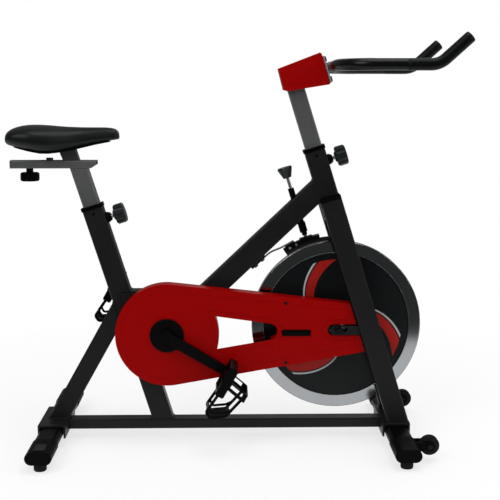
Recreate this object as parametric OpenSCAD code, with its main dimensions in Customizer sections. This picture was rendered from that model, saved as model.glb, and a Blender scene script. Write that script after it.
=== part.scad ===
// Indoor spin bike: welded frame, belt driven flywheel, cranks with caged pedals,
// sliding saddle and handlebar posts, felt brake on the flywheel rim.
// Millimetres, +Z up, +X to the front, origin on the floor under the middle of the bike.

/* [Frame] */
// backward lean of seat tube, head tube and fork, degrees
lean = 17.35; // [15:0.05:20]
// fore and aft depth of the seat tube and the head tube
tube_d = 50; // [46:1:56]
// sideways width of the frame tubes
tube_w = 40; // [36:1:44]
// wall of the frame tubes
wall = 2; // [1.5:0.25:3]
// height of the base rail section
rail_h = 25; // [20:1:30]
// height of the top of the seat tube, on its centre line
seat_top_z = 579; // [560:1:600]
// height of the top of the head tube, on its centre line
head_top_z = 720; // [700:1:740]
// depth of the rear strut section
strut_d = 44; // [38:1:50]
// depth of the down tube section
down_d = 52; // [46:1:56]
// sideways gap between the two fork legs
fork_gap = 104; // [102:1:110]
// sideways thickness of a fork leg
leg_w = 25; // [20:1:28]

/* [Base] */
// distance of the front stabilizer ahead of the origin
front_x = 401; // [385:1:420]
// distance of the rear stabilizer behind the origin
rear_x = 445; // [430:1:460]
// overall width across the stabilizer caps
base_w = 524; // [500:2:560]
// width of the flat oval stabilizer tube
oval_w = 58; // [52:1:64]
// height of the flat oval stabilizer tube
oval_h = 27; // [24:1:30]
// height of the rubber feet
foot_h = 20.5; // [16:0.5:26]
// radius of the transport wheels
trolley_r = 23; // [20:0.5:26]

/* [Drive] */
// distance of the crank axis behind the origin
crank_back = 161.5; // [155:0.5:168]
// height of the crank axis
crank_z = 275; // [270:1:282]
// distance of the flywheel axle ahead of the origin
wheel_x = 256; // [250:1:262]
// height of the flywheel axle
wheel_z = 289; // [284:1:294]
// radius of the flywheel
wheel_r = 210; // [200:1:214]
// thickness of the flywheel rim
rim_t = 24; // [18:1:26]
// running radius of the crank pulley
pulley_r = 92; // [84:1:98]
// running radius of the flywheel pulley
sprocket_r = 28; // [26:1:32]
// length of a crank arm between its axes
crank_len = 170; // [165:1:175]
// crank angle below the horizontal, degrees
crank_drop = 31; // [26:1:36]
// outer radius of the round end of the drive cover
cover_r = 126; // [122:1:132]

/* [Pedals] */
// fore and aft length of a pedal
pedal_len = 76; // [70:1:84]
// sideways width of a pedal
pedal_w = 90; // [84:1:98]
// height of a pedal
pedal_h = 26; // [22:1:30]

/* [Saddle and handlebar] */
// fore and aft depth of the two sliding posts
post_d = 41; // [38:0.5:42]
// sideways width of the two sliding posts
post_w = 31; // [28:0.5:32]
// height of the underside of the saddle rail
rail_z = 678; // [670:1:700]
// length of the saddle
saddle_len = 270; // [258:1:282]
// greatest width of the saddle
saddle_w = 166; // [150:2:184]
// diameter of the handlebar tube
bar_d = 25.4; // [22:0.2:28]
// outer diameter of the hand grips
grip_d = 28.6; // [28.4:0.2:32]
// sideways distance between the two grip centre lines
grip_span = 356; // [330:2:380]

/* [Hidden] */
$fn = 64;
eps = 0.05;
far = 900;
sl = sin(lean);
cl = cos(lean);
tl = tan(lean);
run = 0.3;
corner = 4;

// base levels
oval_z = foot_h + 2 + oval_h / 2;
cap_wall = 2;
cap_w = oval_w + 2 * cap_wall;
cap_h = oval_h + 2 * cap_wall;
cap_in = base_w / 2 - 94;
cap_out = base_w / 2;
bracket_t = 4.5;
bracket_half = fork_gap / 2 + leg_w + 3;
bracket_top = oval_z + oval_h / 2 + bracket_t;
rail_low = oval_z - rail_h / 2 + 2;
rail_top = rail_low + rail_h;

rear_bolt_y = 50;
front_bolt_y = 28;
trolley_x = front_x + cap_w / 2 + 28.5;
trolley_z = oval_z + 3;
trolley_y = base_w / 2 - 72;
trolley_w = 18;
arm_t = 7;
foot_y = base_w / 2 - 27;

// seat tube foot on the base rail and head line foot on the front bracket
seat_foot_x = -176.5;
head_foot_x = front_x + 6;
seat_s = (seat_top_z - rail_top) / cl;
head_s = (head_top_z - bracket_top) / cl;
head_low_s = head_s - 172;
leg_s = head_s - 122;
bush_h = 9;
pin_s = 30.5;

// rear strut, brace and down tube
strut_foot_x = -rear_x + 8.5;
strut_top_z = 350;
strut_top_x = seat_foot_x - tl * (strut_top_z - rail_top);
strut_lean = atan((strut_top_x - strut_foot_x) / (strut_top_z - bracket_top));
brace_top = 378;
brace_h = 40;
down_foot_x = wheel_x - 1.469 * wheel_r;
brace_end = down_foot_x + 38.5;
down_top_z = 640;
down_top_x = head_foot_x - tl * (down_top_z - bracket_top);
down_lean = atan((down_top_x - down_foot_x) / (down_top_z - brace_top));

// crank set, counted sideways from the middle
crank_x = -crank_back;
shell_half = 34;
shell_r = 21;
spindle_r = 8.5;
gusset_t = 6;
gusset_y = tube_w / 2 + gusset_t;
inner_y = gusset_y;
inner_t = 2.5;
belt_in = 37;
belt_out = 49;
cover_y = 62;
cover_t = 2.5;
disc_y = cover_y + 2;
arm_in = 70;
arm_out = 84;
pedal_x = crank_x + crank_len * cos(crank_drop);
pedal_z = crank_z - crank_len * sin(crank_drop);
pedal_in = arm_out + 6;
pedal_out = pedal_in + pedal_w;
pedal_mid = (pedal_in + pedal_out) / 2;
pedal_turn = 120;

// flywheel set
hub_r = 20;
bear_r = 14;
axle_r = 6;
hub_right = 52;
hub_left = 22;
rim_in = wheel_r - 29;
drop_in = fork_gap / 2 + 8.5;
drop_t = 8;
leg_rear_x = head_foot_x - tl * (wheel_z - bracket_top) - tube_d / 2 / cl;

// drive cover outline
cover_lo_z = 232;
cover_hi_z = 352;
slot_r = 13.5;
win_r = 20.5;
win_x = crank_x + 249.5;
win_z = crank_z + 8;
win_left = crank_x + 100;
win_drop = 11;
screw_hi = [127.5, 354];
screw_lo = [129, 206];
screw_r = 4;

// brake: the push rod runs parallel to the head tube
wheel_lx = (wheel_x - head_foot_x) * cl + (wheel_z - bracket_top) * sl;
wheel_s = -(wheel_x - head_foot_x) * sl + (wheel_z - bracket_top) * cl;
brake_lx = wheel_lx - 8;
down_sin = sin(down_lean);
down_cos = cos(down_lean);
axis_x = head_foot_x + brake_lx * cl - down_foot_x;
axis_z = bracket_top + brake_lx * sl - brace_top;
under_s = (axis_x * down_cos - axis_z * down_sin - down_d / 2) / sin(down_lean + lean);
pad_gap = 2;
pad_t = 8;
holder_t = 10;
holder_top_s = wheel_s + wheel_r + pad_gap + pad_t + holder_t + 2.5;
sleeve_low_s = holder_top_s + 5;
sleeve_top_s = sleeve_low_s + 120;
knob_s = sleeve_top_s + 27;
rod_r = 4;
tab_a = 108.5;
tab_b = 152.5;
leaf_t = 2;

// saddle and its slider
bush_gap = 0.05;
slot_half = 6.5;
slot_back = 110;
slot_l = 140;
rail_w = 30;
rail_t = 1.5;
slide_h = 19.5;
rail_rear = -538.5;
rail_front = -329.5;
rail_nose = [15, 9.5];
plug_l = 21;
slide_clear = 0.2;
slide_back = 146.5;
slide_l = 141.5;
stub_front = -371.5;
clamp_x = -493;
saddle_rear = -543.2;
base_t = 5;

// stem and handlebar, counted in the frame of the head tube
stem_rise = 164;
stem_s0 = head_s + stem_rise;
stem_mid = stem_s0 + 13.5;
stem_front = 82;
plate_t = 4;
neck_l = 2;
neck_w = 26;
neck_h = 16;
bar_z_off = 2.2;
bar_lx = stem_front + plate_t + neck_l + bar_d / 2;
bar_s = stem_mid + bar_z_off;
bar_x = head_foot_x - bar_s * sl + bar_lx * cl;
bar_z = bracket_top + bar_s * cl + bar_lx * sl;
bar_half = grip_span / 2;
corner_r = 80;
bend_r = 50;
bar_wall = 2;
bend_slim = 0.1;
horn_a = 42;
horn_l = 72;
bend_x = bar_x + 203;
grip_x = bend_x - 52;

// rounded rectangle, a along x and b along y
module rrect(a, b, r) {
  square([a - 2 * r, b], center = true);
  square([a, b - 2 * r], center = true);
  for (i = [-1, 1], j = [-1, 1]) {
    translate([i * (a / 2 - r), j * (b / 2 - r)])
      circle(r);
  }
}

// rectangular steel tube standing on its lower end
module rtube(a, b, t, l) {
  linear_extrude(l)
    difference() {
      rrect(a, b, corner);
      rrect(a - 2 * t, b - 2 * t, corner - t + 0.5);
    }
}

// flat oval section, w wide and h tall
module oval(w, h) {
  square([w - h, h], center = true);
  translate([(w - h) / 2, 0])
    circle(h / 2);
  translate([-(w - h) / 2, 0])
    circle(h / 2);
}

// cylinder along the sideways axis between y0 and y1, centred at x, z
module ycyl(x, z, r, y0, y1) {
  translate([x, y1, z])
    rotate([90, 0, 0])
      cylinder(r = r, h = y1 - y0);
}

// flat outline in x and z, given thickness from y0 to y1
module yplate(y0, y1) {
  translate([0, y1, 0])
    rotate([90, 0, 0])
      linear_extrude(y1 - y0)
        children();
}

module seat_frame() {
  translate([seat_foot_x, 0, rail_top])
    rotate([0, -lean, 0])
      children();
}

module head_frame() {
  translate([head_foot_x, 0, bracket_top])
    rotate([0, -lean, 0])
      children();
}

module below(z) {
  translate([-far, -far, z - 400])
    cube([2 * far, 2 * far, 400]);
}

// frame

module base_rail() {
  color("#1e1e1e")
    translate([-rear_x + oval_w / 2 + bracket_t, 0, rail_low + rail_h / 2])
      rotate([0, 90, 0])
        rtube(rail_h, tube_w, wall, front_x + rear_x - oval_w - 2 * bracket_t);
}

module pin_bore(s) {
  translate([0, 0, s - pin_s])
    rotate([0, 90, 0])
      cylinder(r = pin_r + 0.5, h = 60);
}

module dot_bores(s) {
  translate([0, 60, s - 12])
    rotate([90, 0, 0])
      cylinder(r = 3, h = 120);
}

module seat_tube() {
  color("#1e1e1e")
    difference() {
      seat_frame()
        difference() {
          translate([0, 0, -40])
            rtube(tube_d, tube_w, wall, seat_s + 40);
          pin_bore(seat_s);
          dot_bores(seat_s);
        }
      below(rail_top);
    }
}

module rear_strut() {
  color("#1e1e1e")
    difference() {
      translate([strut_foot_x, 0, bracket_top])
        rotate([0, strut_lean, 0])
          translate([0, 0, -60])
            rtube(strut_d, tube_w, wall, 460);
      below(bracket_top);
      seat_frame()
        translate([-tube_d / 2, -100, -200])
          cube([500, 200, 1200]);
    }
}

module brace_tube() {
  color("#1e1e1e")
    difference() {
      translate([-320, 0, brace_top - brace_h / 2])
        rotate([0, 90, 0])
          rtube(brace_h, tube_w, wall, brace_end + 320);
      seat_frame()
        translate([tube_d / 2 - 500, -100, -200])
          cube([500, 200, 1200]);
    }
}

module down_frame() {
  translate([down_foot_x, 0, brace_top])
    rotate([0, down_lean, 0])
      children();
}

module brake_axis() {
  head_frame()
    translate([brake_lx, 0, 0])
      children();
}

module down_tube() {
  color("#1e1e1e")
    difference() {
      down_frame() {
        translate([0, 0, -60])
          rtube(down_d, tube_w, wall, 560);
        difference() {
          translate([down_d / 2 - eps, -12, tab_a])
            cube([5 + eps, 24, tab_b - tab_a]);
          for (l = [tab_a + 11, tab_b - 11]) {
            translate([down_d / 2 + 1, 0, l])
              rotate([0, 90, 0])
                cylinder(r = 2.5, h = 10);
          }
        }
      }
      below(brace_top);
      head_frame()
        translate([-tube_d / 2, -100, 0])
          cube([500, 200, 1200]);
      brake_axis()
        translate([0, 0, sleeve_low_s - 40])
          cylinder(r = 7.5, h = 300);
    }
}

module gusset_plate() {
  difference() {
    polygon([
      [seat_foot_x - tl * (brace_top - 6 - rail_top), brace_top - 6], [crank_x + 50, brace_top - 6],
      [crank_x + 50, brace_top - 32], [crank_x + 38, crank_z - 12], [crank_x + 18, crank_z - 34],
      [crank_x - 18, crank_z - 34], [crank_x - 38, crank_z - 18],
      [seat_foot_x - tl * (crank_z + 10 - rail_top), crank_z + 10]
    ]);
    translate([crank_x, crank_z])
      circle(shell_r);
  }
}

module bb_gussets() {
  color("#1e1e1e") {
    yplate(-gusset_y, -tube_w / 2)
      gusset_plate();
    yplate(tube_w / 2, gusset_y)
      gusset_plate();
  }
}

module bb_shell() {
  color("#1e1e1e")
    difference() {
      ycyl(crank_x, crank_z, shell_r, -shell_half, shell_half);
      ycyl(crank_x, crank_z, shell_r - 3, -shell_half - 1, shell_half + 1);
    }
}

module bb_bearings() {
  color("#8a8d90")
    for (y = [-shell_half, shell_half - 12]) {
      difference() {
        ycyl(crank_x, crank_z, shell_r - 3, y, y + 12);
        ycyl(crank_x, crank_z, spindle_r + 0.05, y - 1, y + 13);
      }
    }
}

module head_tube() {
  color("#1e1e1e")
    head_frame()
      difference() {
        translate([0, 0, head_low_s])
          rtube(tube_d, tube_w, wall, head_s - head_low_s);
        pin_bore(head_s);
        dot_bores(head_s);
      }
}

// one fork leg with its welded crown stub, side -1 right and 1 left
module fork_leg(side) {
  difference() {
    head_frame() {
      translate([0, side * (fork_gap + leg_w) / 2, -40])
        rtube(tube_d, leg_w, wall, leg_s + 40);
      translate([0, side * tube_w / 2, leg_s - 26])
        rotate([-side * 90, 0, 0])
          rtube(tube_d - 6, 46, wall, (fork_gap - tube_w) / 2 + eps);
    }
    below(bracket_top);
  }
}

module fork_right() {
  color("#1e1e1e")
    fork_leg(-1);
}

module fork_left() {
  color("#1e1e1e")
    fork_leg(1);
}

module drop_plate() {
  difference() {
    polygon([
      [wheel_x - 18, wheel_z - 9], [wheel_x - 12, wheel_z - 13],
      [leg_rear_x + tl * 13, wheel_z - 13], [leg_rear_x - tl * 9, wheel_z + 9],
      [wheel_x - 12, wheel_z + 9], [wheel_x - 18, wheel_z + 5]
    ]);
    translate([wheel_x, wheel_z])
      circle(axle_r);
    translate([wheel_x, wheel_z - axle_r])
      square([16, 2 * axle_r]);
    translate([wheel_x + 16, wheel_z])
      circle(axle_r);
  }
}

module dropouts() {
  color("#1e1e1e") {
    yplate(-drop_in - drop_t, -drop_in)
      drop_plate();
    yplate(drop_in, drop_in + drop_t)
      drop_plate();
  }
}

module flywheel_axle() {
  color("#8a8d90") {
    ycyl(wheel_x, wheel_z, axle_r, -drop_in - drop_t - 15, drop_in + drop_t + 15);
    ycyl(wheel_x, wheel_z, 9, -drop_in, -hub_right - run);
    ycyl(wheel_x, wheel_z, 9, hub_left + run, drop_in);
  }
}

// channel that sits over the flat oval stabilizer
module bracket(x, bolt_y) {
  difference() {
    translate([x - oval_w / 2 - bracket_t, -bracket_half, oval_z - 14])
      cube([oval_w + 2 * bracket_t, 2 * bracket_half, bracket_top - oval_z + 14]);
    translate([x - oval_w / 2, -bracket_half - 1, oval_z - 15])
      cube([oval_w, 2 * bracket_half + 2, oval_h / 2 + 15]);
    for (y = [-bolt_y, bolt_y]) {
      translate([x, y, oval_z])
        cylinder(r = 4, h = 40);
    }
  }
}

module brackets() {
  color("#1e1e1e") {
    bracket(-rear_x, rear_bolt_y);
    bracket(front_x, front_bolt_y);
  }
}

module stabilizer(x, bolt_y) {
  difference() {
    translate([x, cap_out - 4, oval_z])
      rotate([90, 0, 0])
        linear_extrude(2 * cap_out - 8)
          difference() {
            oval(oval_w, oval_h);
            oval(oval_w - 2 * wall, oval_h - 2 * wall);
          }
    for (y = [-bolt_y, bolt_y]) {
      translate([x, y, oval_z])
        cylinder(r = 4, h = 40);
    }
  }
}

module rear_stabilizer() {
  color("#121212")
    stabilizer(-rear_x, rear_bolt_y);
}

module front_stabilizer() {
  color("#121212")
    stabilizer(front_x, front_bolt_y);
}

module cap_shell(x, side) {
  y0 = side > 0 ? cap_in : -cap_out;
  translate([x, y0 + cap_out - cap_in, oval_z])
    rotate([90, 0, 0])
      linear_extrude(cap_out - cap_in)
        oval(cap_w, cap_h);
}

module cap_pocket(x) {
  translate([x, cap_out - 4, oval_z])
    rotate([90, 0, 0])
      linear_extrude(2 * cap_out - 8)
        oval(oval_w, oval_h);
}

module trolley_arm(y0, y1) {
  yplate(y0, y1)
    polygon([
      [front_x + cap_w / 2 - 14, oval_z - 8], [front_x + cap_w / 2 - 14, oval_z + 13.5],
      [trolley_x, trolley_z + 11], [trolley_x, trolley_z - 11]
    ]);
  ycyl(trolley_x, trolley_z, 11, y0, y1);
}

module front_cap(side) {
  lo = trolley_y - trolley_w / 2 - run - arm_t;
  hi = trolley_y + trolley_w / 2 + run;
  difference() {
    union() {
      cap_shell(front_x, side);
      trolley_arm(side > 0 ? lo : -lo - arm_t, side > 0 ? lo + arm_t : -lo);
      trolley_arm(side > 0 ? hi : -hi - arm_t, side > 0 ? hi + arm_t : -hi);
    }
    cap_pocket(front_x);
    ycyl(trolley_x, trolley_z, 4, -far, far);
  }
}

module rear_cap(side) {
  difference() {
    cap_shell(-rear_x, side);
    cap_pocket(-rear_x);
  }
}

// hollow plug standing on the open top of a fork leg
module leg_plug(side) {
  head_frame()
    translate([0, side * (fork_gap + leg_w) / 2, leg_s]) {
      translate([0, 0, -14])
        linear_extrude(14)
          rrect(tube_d - 2 * wall, leg_w - 2 * wall, corner - wall + 0.5);
      linear_extrude(9)
        rrect(tube_d, leg_w, corner);
      translate([0, 0, 9])
        linear_extrude(4)
          rrect(tube_d - 5, leg_w - 5, corner);
    }
}

module end_caps() {
  color("#101010") {
    rear_cap(-1);
    rear_cap(1);
    front_cap(-1);
    front_cap(1);
    leg_plug(-1);
    leg_plug(1);
  }
}

module rubber_feet() {
  color("#141414")
    for (x = [-rear_x, front_x], y = [-foot_y, foot_y]) {
      translate([x, y, 0]) {
        cylinder(r1 = 13.5, r2 = 15, h = 3);
        translate([0, 0, 3])
          cylinder(r = 15, h = foot_h - 3);
      }
    }
}

module frame_fasteners() {
  color("#3a3c3e") {
    for (p = [[-rear_x, rear_bolt_y], [front_x, front_bolt_y]], j = [-1, 1]) {
      translate([p[0], j * p[1], 0]) {
        translate([0, 0, oval_z + oval_h / 2 - wall - 5])
          cylinder(r = 4, h = bracket_top - oval_z - oval_h / 2 + wall + 5.5);
        translate([0, 0, bracket_top])
          cylinder(r1 = 8, r2 = 6, h = 4);
      }
    }
    for (j = [-1, 1]) {
      y0 = j > 0 ? drop_in + drop_t : -drop_in - drop_t - 10;
      difference() {
        translate([wheel_x, y0 + 10, wheel_z])
          rotate([90, 0, 0])
            linear_extrude(10)
              polygon([for (a = [0:60:300]) [11 * cos(a), 11 * sin(a)]]);
        ycyl(wheel_x, wheel_z, axle_r, y0 - 1, y0 + 11);
      }
      lo = trolley_y - trolley_w / 2 - run - arm_t;
      hi = trolley_y + trolley_w / 2 + run + arm_t;
      ycyl(trolley_x, trolley_z, 4, j > 0 ? lo : -hi, j > 0 ? hi : -lo);
      ycyl(trolley_x, trolley_z, 6, j > 0 ? hi : -hi - 3, j > 0 ? hi + 3 : -hi);
    }
    for (p = [screw_hi, screw_lo]) {
      ycyl(p[0], p[1], screw_r, -cover_y - 1.2, -cover_y);
      ycyl(p[0], p[1], 2, -cover_y - 0.5, -inner_y - inner_t);
    }
    down_frame()
      for (l = [tab_a + 11, tab_b - 11]) {
        translate([down_d / 2 + 1, 0, l])
          rotate([0, 90, 0])
            cylinder(r = 2.5, h = 4 + leaf_t + 0.5);
        translate([down_d / 2 + 5 + leaf_t, 0, l])
          rotate([0, 90, 0])
            cylinder(r = 5, h = 3.5);
      }
  }
}

// plastic guide bush in the top of a tube, with snap studs in the tube sides
module bush(s) {
  difference() {
    union() {
      translate([0, 0, s - 62])
        linear_extrude(62)
          rrect(tube_d - 2 * wall, tube_w - 2 * wall, corner - wall + 0.5);
      translate([0, 0, s])
        linear_extrude(bush_h)
          rrect(tube_d + 4, tube_w + 4, corner + 1);
      translate([0, tube_w / 2 + 0.8, s - 12])
        rotate([90, 0, 0])
          cylinder(r = 3, h = tube_w + 1.6);
    }
    translate([0, 0, s - 70])
      linear_extrude(100)
        rrect(post_d + 2 * bush_gap, post_w + 2 * bush_gap, 3.5);
    pin_bore(s);
  }
}

module post_bushes() {
  color("#101010") {
    seat_frame()
      bush(seat_s);
    head_frame()
      bush(head_s);
  }
}

module pin_boss(s) {
  translate([0, 0, s - pin_s])
    rotate([0, 90, 0])
      difference() {
        union() {
          translate([0, 0, tube_d / 2])
            cylinder(r = 13, h = 6);
          translate([0, 0, tube_d / 2 + 6])
            cylinder(r1 = 12, r2 = 9.5, h = 6);
        }
        cylinder(r = pin_r + pin_fit, h = 60);
      }
}

module pin_bosses() {
  color("#101010") {
    seat_frame()
      pin_boss(seat_s);
    head_frame()
      pin_boss(head_s);
  }
}

module brake_sleeve() {
  color("#101010")
    brake_axis()
      difference() {
        union() {
          translate([0, 0, sleeve_low_s])
            cylinder(r = 6.5, h = 9);
          translate([0, 0, sleeve_low_s + 8])
            cylinder(r = 9.5, h = under_s - 5.5 - sleeve_low_s - 8);
          translate([0, 0, sleeve_low_s + 8])
            cylinder(r = 7.5, h = sleeve_top_s - sleeve_low_s - 8);
        }
        translate([0, 0, sleeve_low_s - 1])
          cylinder(r = rod_r + 0.05, h = 300);
      }
}

// drive cover

function cover_front(z) = head_foot_x - tl * (z - bracket_top) - tube_d / 2 / cl - 3;
function to_pole(p) = [norm([p[0] - crank_x, p[1] - crank_z]), atan2(p[1] - crank_z, p[0] - crank_x)];
function tangent_at(p, r, way) =
  let (q = to_pole(p), a = q[1] + way * acos(r / q[0]))
  [crank_x + r * cos(a), crank_z + r * sin(a)];

// straight sided part of the drive cover, drawn in by i
module cover_tail(i) {
  hi = [cover_front(cover_hi_z - i) - i, cover_hi_z - i];
  lo = [cover_front(cover_lo_z + i) - i, cover_lo_z + i];
  polygon([
    tangent_at(hi, cover_r - i - eps, 1), hi, lo, tangent_at(lo, cover_r - i - eps, -1), [crank_x, crank_z]
  ]);
}

// whole outline of the drive cover, drawn in by i
module cover_outline(i) {
  translate([crank_x, crank_z])
    circle(cover_r - i);
  cover_tail(i);
}

// window in the cover, widened by g, its lower edge let down by drop
module cover_window(g, drop = 0) {
  difference() {
    union() {
      translate([win_x, win_z])
        circle(win_r + g);
      polygon([
        [win_left, win_z + 41.5 + g], [win_x + 4, win_z + win_r - 0.4 + g],
        [win_x + 4, win_z - win_r + 0.4 - g - drop], [win_left, win_z - 46.5 - g - drop]
      ]);
    }
    translate([crank_x, crank_z])
      circle(cover_r + 1 - g);
  }
}

// slot round the right dropout, open to the front
module cover_slot(g) {
  translate([wheel_x - 12, wheel_z - 2])
    circle(slot_r + g);
  translate([wheel_x - 12, wheel_z - 2 - slot_r - g])
    square([200, 2 * slot_r + 2 * g]);
}

module cover_outer() {
  color("#870606")
    difference() {
      union() {
        difference() {
          yplate(-cover_y, -inner_y - inner_t)
            cover_outline(0);
          yplate(-cover_y + cover_t, -inner_y - inner_t + 1)
            cover_outline(cover_t);
        }
        yplate(-cover_y - 1, -cover_y + eps)
          difference() {
            cover_outline(17);
            cover_window(13);
            cover_slot(12);
          }
        yplate(-cover_y + 1, -inner_y - inner_t)
          cover_window(cover_t, win_drop);
        ycyl(screw_hi[0], screw_hi[1], 5, -cover_y + 1, -inner_y - inner_t);
        ycyl(screw_lo[0], screw_lo[1], 5, -cover_y + 1, -inner_y - inner_t);
      }
      yplate(-cover_y - 3, -cover_y + 2 * cover_t)
        cover_window(0);
      yplate(-cover_y + cover_t, -inner_y)
        cover_window(0, win_drop);
      yplate(-cover_y - 3, -cover_y + 2 * cover_t)
        cover_slot(0);
      ycyl(crank_x, crank_z, 26, -cover_y - 3, -cover_y + 6);
      for (p = [screw_hi, screw_lo]) {
        ycyl(p[0], p[1], 2, -cover_y - 3, -inner_y);
        ycyl(p[0], p[1], screw_r + run, -cover_y - 3, -cover_y);
      }
    }
}

module cover_inner() {
  color("#161616")
    difference() {
      union() {
        ycyl(crank_x, crank_z, cover_r, -inner_y - inner_t, -inner_y);
        yplate(-inner_y - inner_t, -inner_y)
          cover_tail(0);
      }
      yplate(-inner_y - inner_t - 1, -inner_y + 1)
        cover_window(0, win_drop);
      ycyl(crank_x, crank_z, shell_r + 1.5, -inner_y - inner_t - 1, -inner_y + 1);
      ycyl(wheel_x, wheel_z, hub_r + 14, -inner_y - inner_t - 1, -inner_y + 1);
    }
}

belt_dist = norm([wheel_x - crank_x, wheel_z - crank_z]);
belt_a = acos((pulley_r - sprocket_r) / belt_dist);
belt_line = atan2(wheel_z - crank_z, wheel_x - crank_x);
belt_t = 4;
belt_in_set = 0.1;
belt_lap = 0.5;

module belt_arc(x, z, r, from, turn) {
  translate([x, -belt_in, z])
    rotate([90, 0, 0])
      rotate([0, 0, from])
        rotate_extrude(angle = turn)
          translate([r + run, 0])
            square([belt_t, belt_out - belt_in]);
}

module drive_belt() {
  l = belt_dist * sin(belt_a);
  color("#0e0e0e") {
    belt_arc(crank_x, crank_z, pulley_r, belt_line + belt_a, 360 - 2 * belt_a);
    belt_arc(wheel_x, wheel_z, sprocket_r, belt_line - belt_a, 2 * belt_a);
    yplate(-belt_out + belt_in_set, -belt_in - belt_in_set)
      translate([crank_x, crank_z])
        rotate(belt_line + belt_a)
          translate([pulley_r + run + belt_in_set, -l - belt_lap])
            square([belt_t - 2 * belt_in_set, l + 2 * belt_lap]);
    yplate(-belt_out + belt_in_set, -belt_in - belt_in_set)
      translate([crank_x, crank_z])
        rotate(belt_line - belt_a)
          translate([pulley_r + run + belt_in_set, -belt_lap])
            square([belt_t - 2 * belt_in_set, l + 2 * belt_lap]);
  }
}

// brake spring: a strip from the tab under the down tube to the back of the pad holder
function down_pt(x, l) = [
  down_foot_x + l * down_sin + x * down_cos,
  brace_top + l * down_cos - x * down_sin
];
function wheel_pt(r, a) = [wheel_x + r * cos(a), wheel_z + r * sin(a)];
leaf_x = down_d / 2 + 5;
leaf_from = down_pt(leaf_x + leaf_t, tab_b);
leaf_seat = wheel_r + pad_gap + pad_t + holder_t + 4;
leaf_to = wheel_pt(leaf_seat, 123);
leaf_tip = wheel_pt(leaf_seat, 117);
leaf_dir = (leaf_tip - leaf_to) / norm(leaf_tip - leaf_to);
leaf_up = [-leaf_dir[1], leaf_dir[0]];
leaf_g1 = leaf_from + 26 * [down_sin, down_cos];
leaf_g2 = leaf_to - 26 * leaf_dir;
function bez(t) =
  leaf_from * pow(1 - t, 3) + 3 * leaf_g1 * t * pow(1 - t, 2)
  + 3 * leaf_g2 * t * t * (1 - t) + leaf_to * pow(t, 3);
function bez_up(t) =
  let (d = bez(t + 0.02) - bez(t - 0.02))
  [-d[1], d[0]] / norm(d);

module leaf_spring() {
  color("#6f7274")
    difference() {
      yplate(-9, 9)
        polygon(concat(
          [down_pt(leaf_x + leaf_t, tab_a), leaf_from],
          [for (i = [1:9]) bez(i / 10)],
          [leaf_to, leaf_tip, leaf_tip + leaf_t * leaf_up, leaf_to + leaf_t * leaf_up],
          [for (i = [9:-1:1]) bez(i / 10) + leaf_t * bez_up(i / 10)],
          [down_pt(leaf_x, tab_b), down_pt(leaf_x, tab_a)]
        ));
      down_frame()
        for (l = [tab_a + 11, tab_b - 11]) {
          translate([down_d / 2, 0, l])
            rotate([0, 90, 0])
              cylinder(r = 2.5, h = 20);
        }
    }
}

// transport wheels

module trolley_wheel(side) {
  y0 = side * trolley_y - trolley_w / 2;
  difference() {
    union() {
      ycyl(trolley_x, trolley_z, trolley_r, y0 + 2, y0 + trolley_w - 2);
      ycyl(trolley_x, trolley_z, trolley_r - 2, y0 + 0.5, y0 + trolley_w - 0.5);
      ycyl(trolley_x, trolley_z, 9, y0, y0 + trolley_w);
    }
    ycyl(trolley_x, trolley_z, 4.05, y0 - 1, y0 + trolley_w + 1);
  }
}

module wheel_right() {
  color("#141414")
    trolley_wheel(-1);
}

module wheel_left() {
  color("#141414")
    trolley_wheel(1);
}

// flywheel

module ring(x, z, r1, r0, y0, y1) {
  difference() {
    ycyl(x, z, r1, y0, y1);
    ycyl(x, z, r0, y0 - 1, y1 + 1);
  }
}

module flywheel() {
  h = rim_t / 2;
  color("#a9adb0") {
    ring(wheel_x, wheel_z, wheel_r, rim_in - 7, -h + 3.5, h - 3.5);
    ring(wheel_x, wheel_z, wheel_r, rim_in, -h + 1, h - 1);
    ring(wheel_x, wheel_z, wheel_r - 1, rim_in, -h, h);
    ring(wheel_x, wheel_z, rim_in - 6, bear_r, -4.5, 4.5);
    ring(wheel_x, wheel_z, hub_r, bear_r, -hub_right, hub_left);
  }
}

module flywheel_discs() {
  h = rim_t / 2;
  color("#17191a") {
    ring(wheel_x, wheel_z, rim_in - 0.1, hub_r + 0.1, -h + 1.5, -h + 3.5);
    ring(wheel_x, wheel_z, rim_in - 0.1, hub_r + 0.1, h - 3.5, h - 1.5);
  }
}

module flywheel_bearings() {
  color("#8a8d90") {
    ring(wheel_x, wheel_z, bear_r, axle_r + 0.05, -hub_right, -hub_right + 8);
    ring(wheel_x, wheel_z, bear_r, axle_r + 0.05, hub_left - 8, hub_left);
  }
}

// grooved wheel for the belt with a thin flange on either side
module belt_wheel(x, z, r, bore) {
  ring(x, z, r, bore, -belt_out - 1, -belt_in + 1);
  ring(x, z, r + 3, bore, -belt_out - 1, -belt_out - run);
  ring(x, z, r + 3, bore, -belt_in + run, -belt_in + 1);
}

module drive_pulley() {
  color("#2a2c2e")
    belt_wheel(wheel_x, wheel_z, sprocket_r, hub_r);
}

// cranks

module crank_spindle() {
  color("#8a8d90")
    ycyl(crank_x, crank_z, spindle_r, -arm_out + 2, arm_out - 2);
}

module big_pulley() {
  color("#2a2c2e")
    difference() {
      belt_wheel(crank_x, crank_z, pulley_r, spindle_r);
      ring(crank_x, crank_z, pulley_r - 9, 20, -belt_out - 3, -belt_out + 3);
      ring(crank_x, crank_z, pulley_r - 9, 20, -belt_in - 3, -belt_in + 3);
    }
}

// arm seen from the side, pointing along +x
module crank_plan() {
  circle(16);
  polygon([[0, 13], [crank_len, 11], [crank_len, -11], [0, -13]]);
  translate([crank_len, 0])
    circle(13);
}

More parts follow.
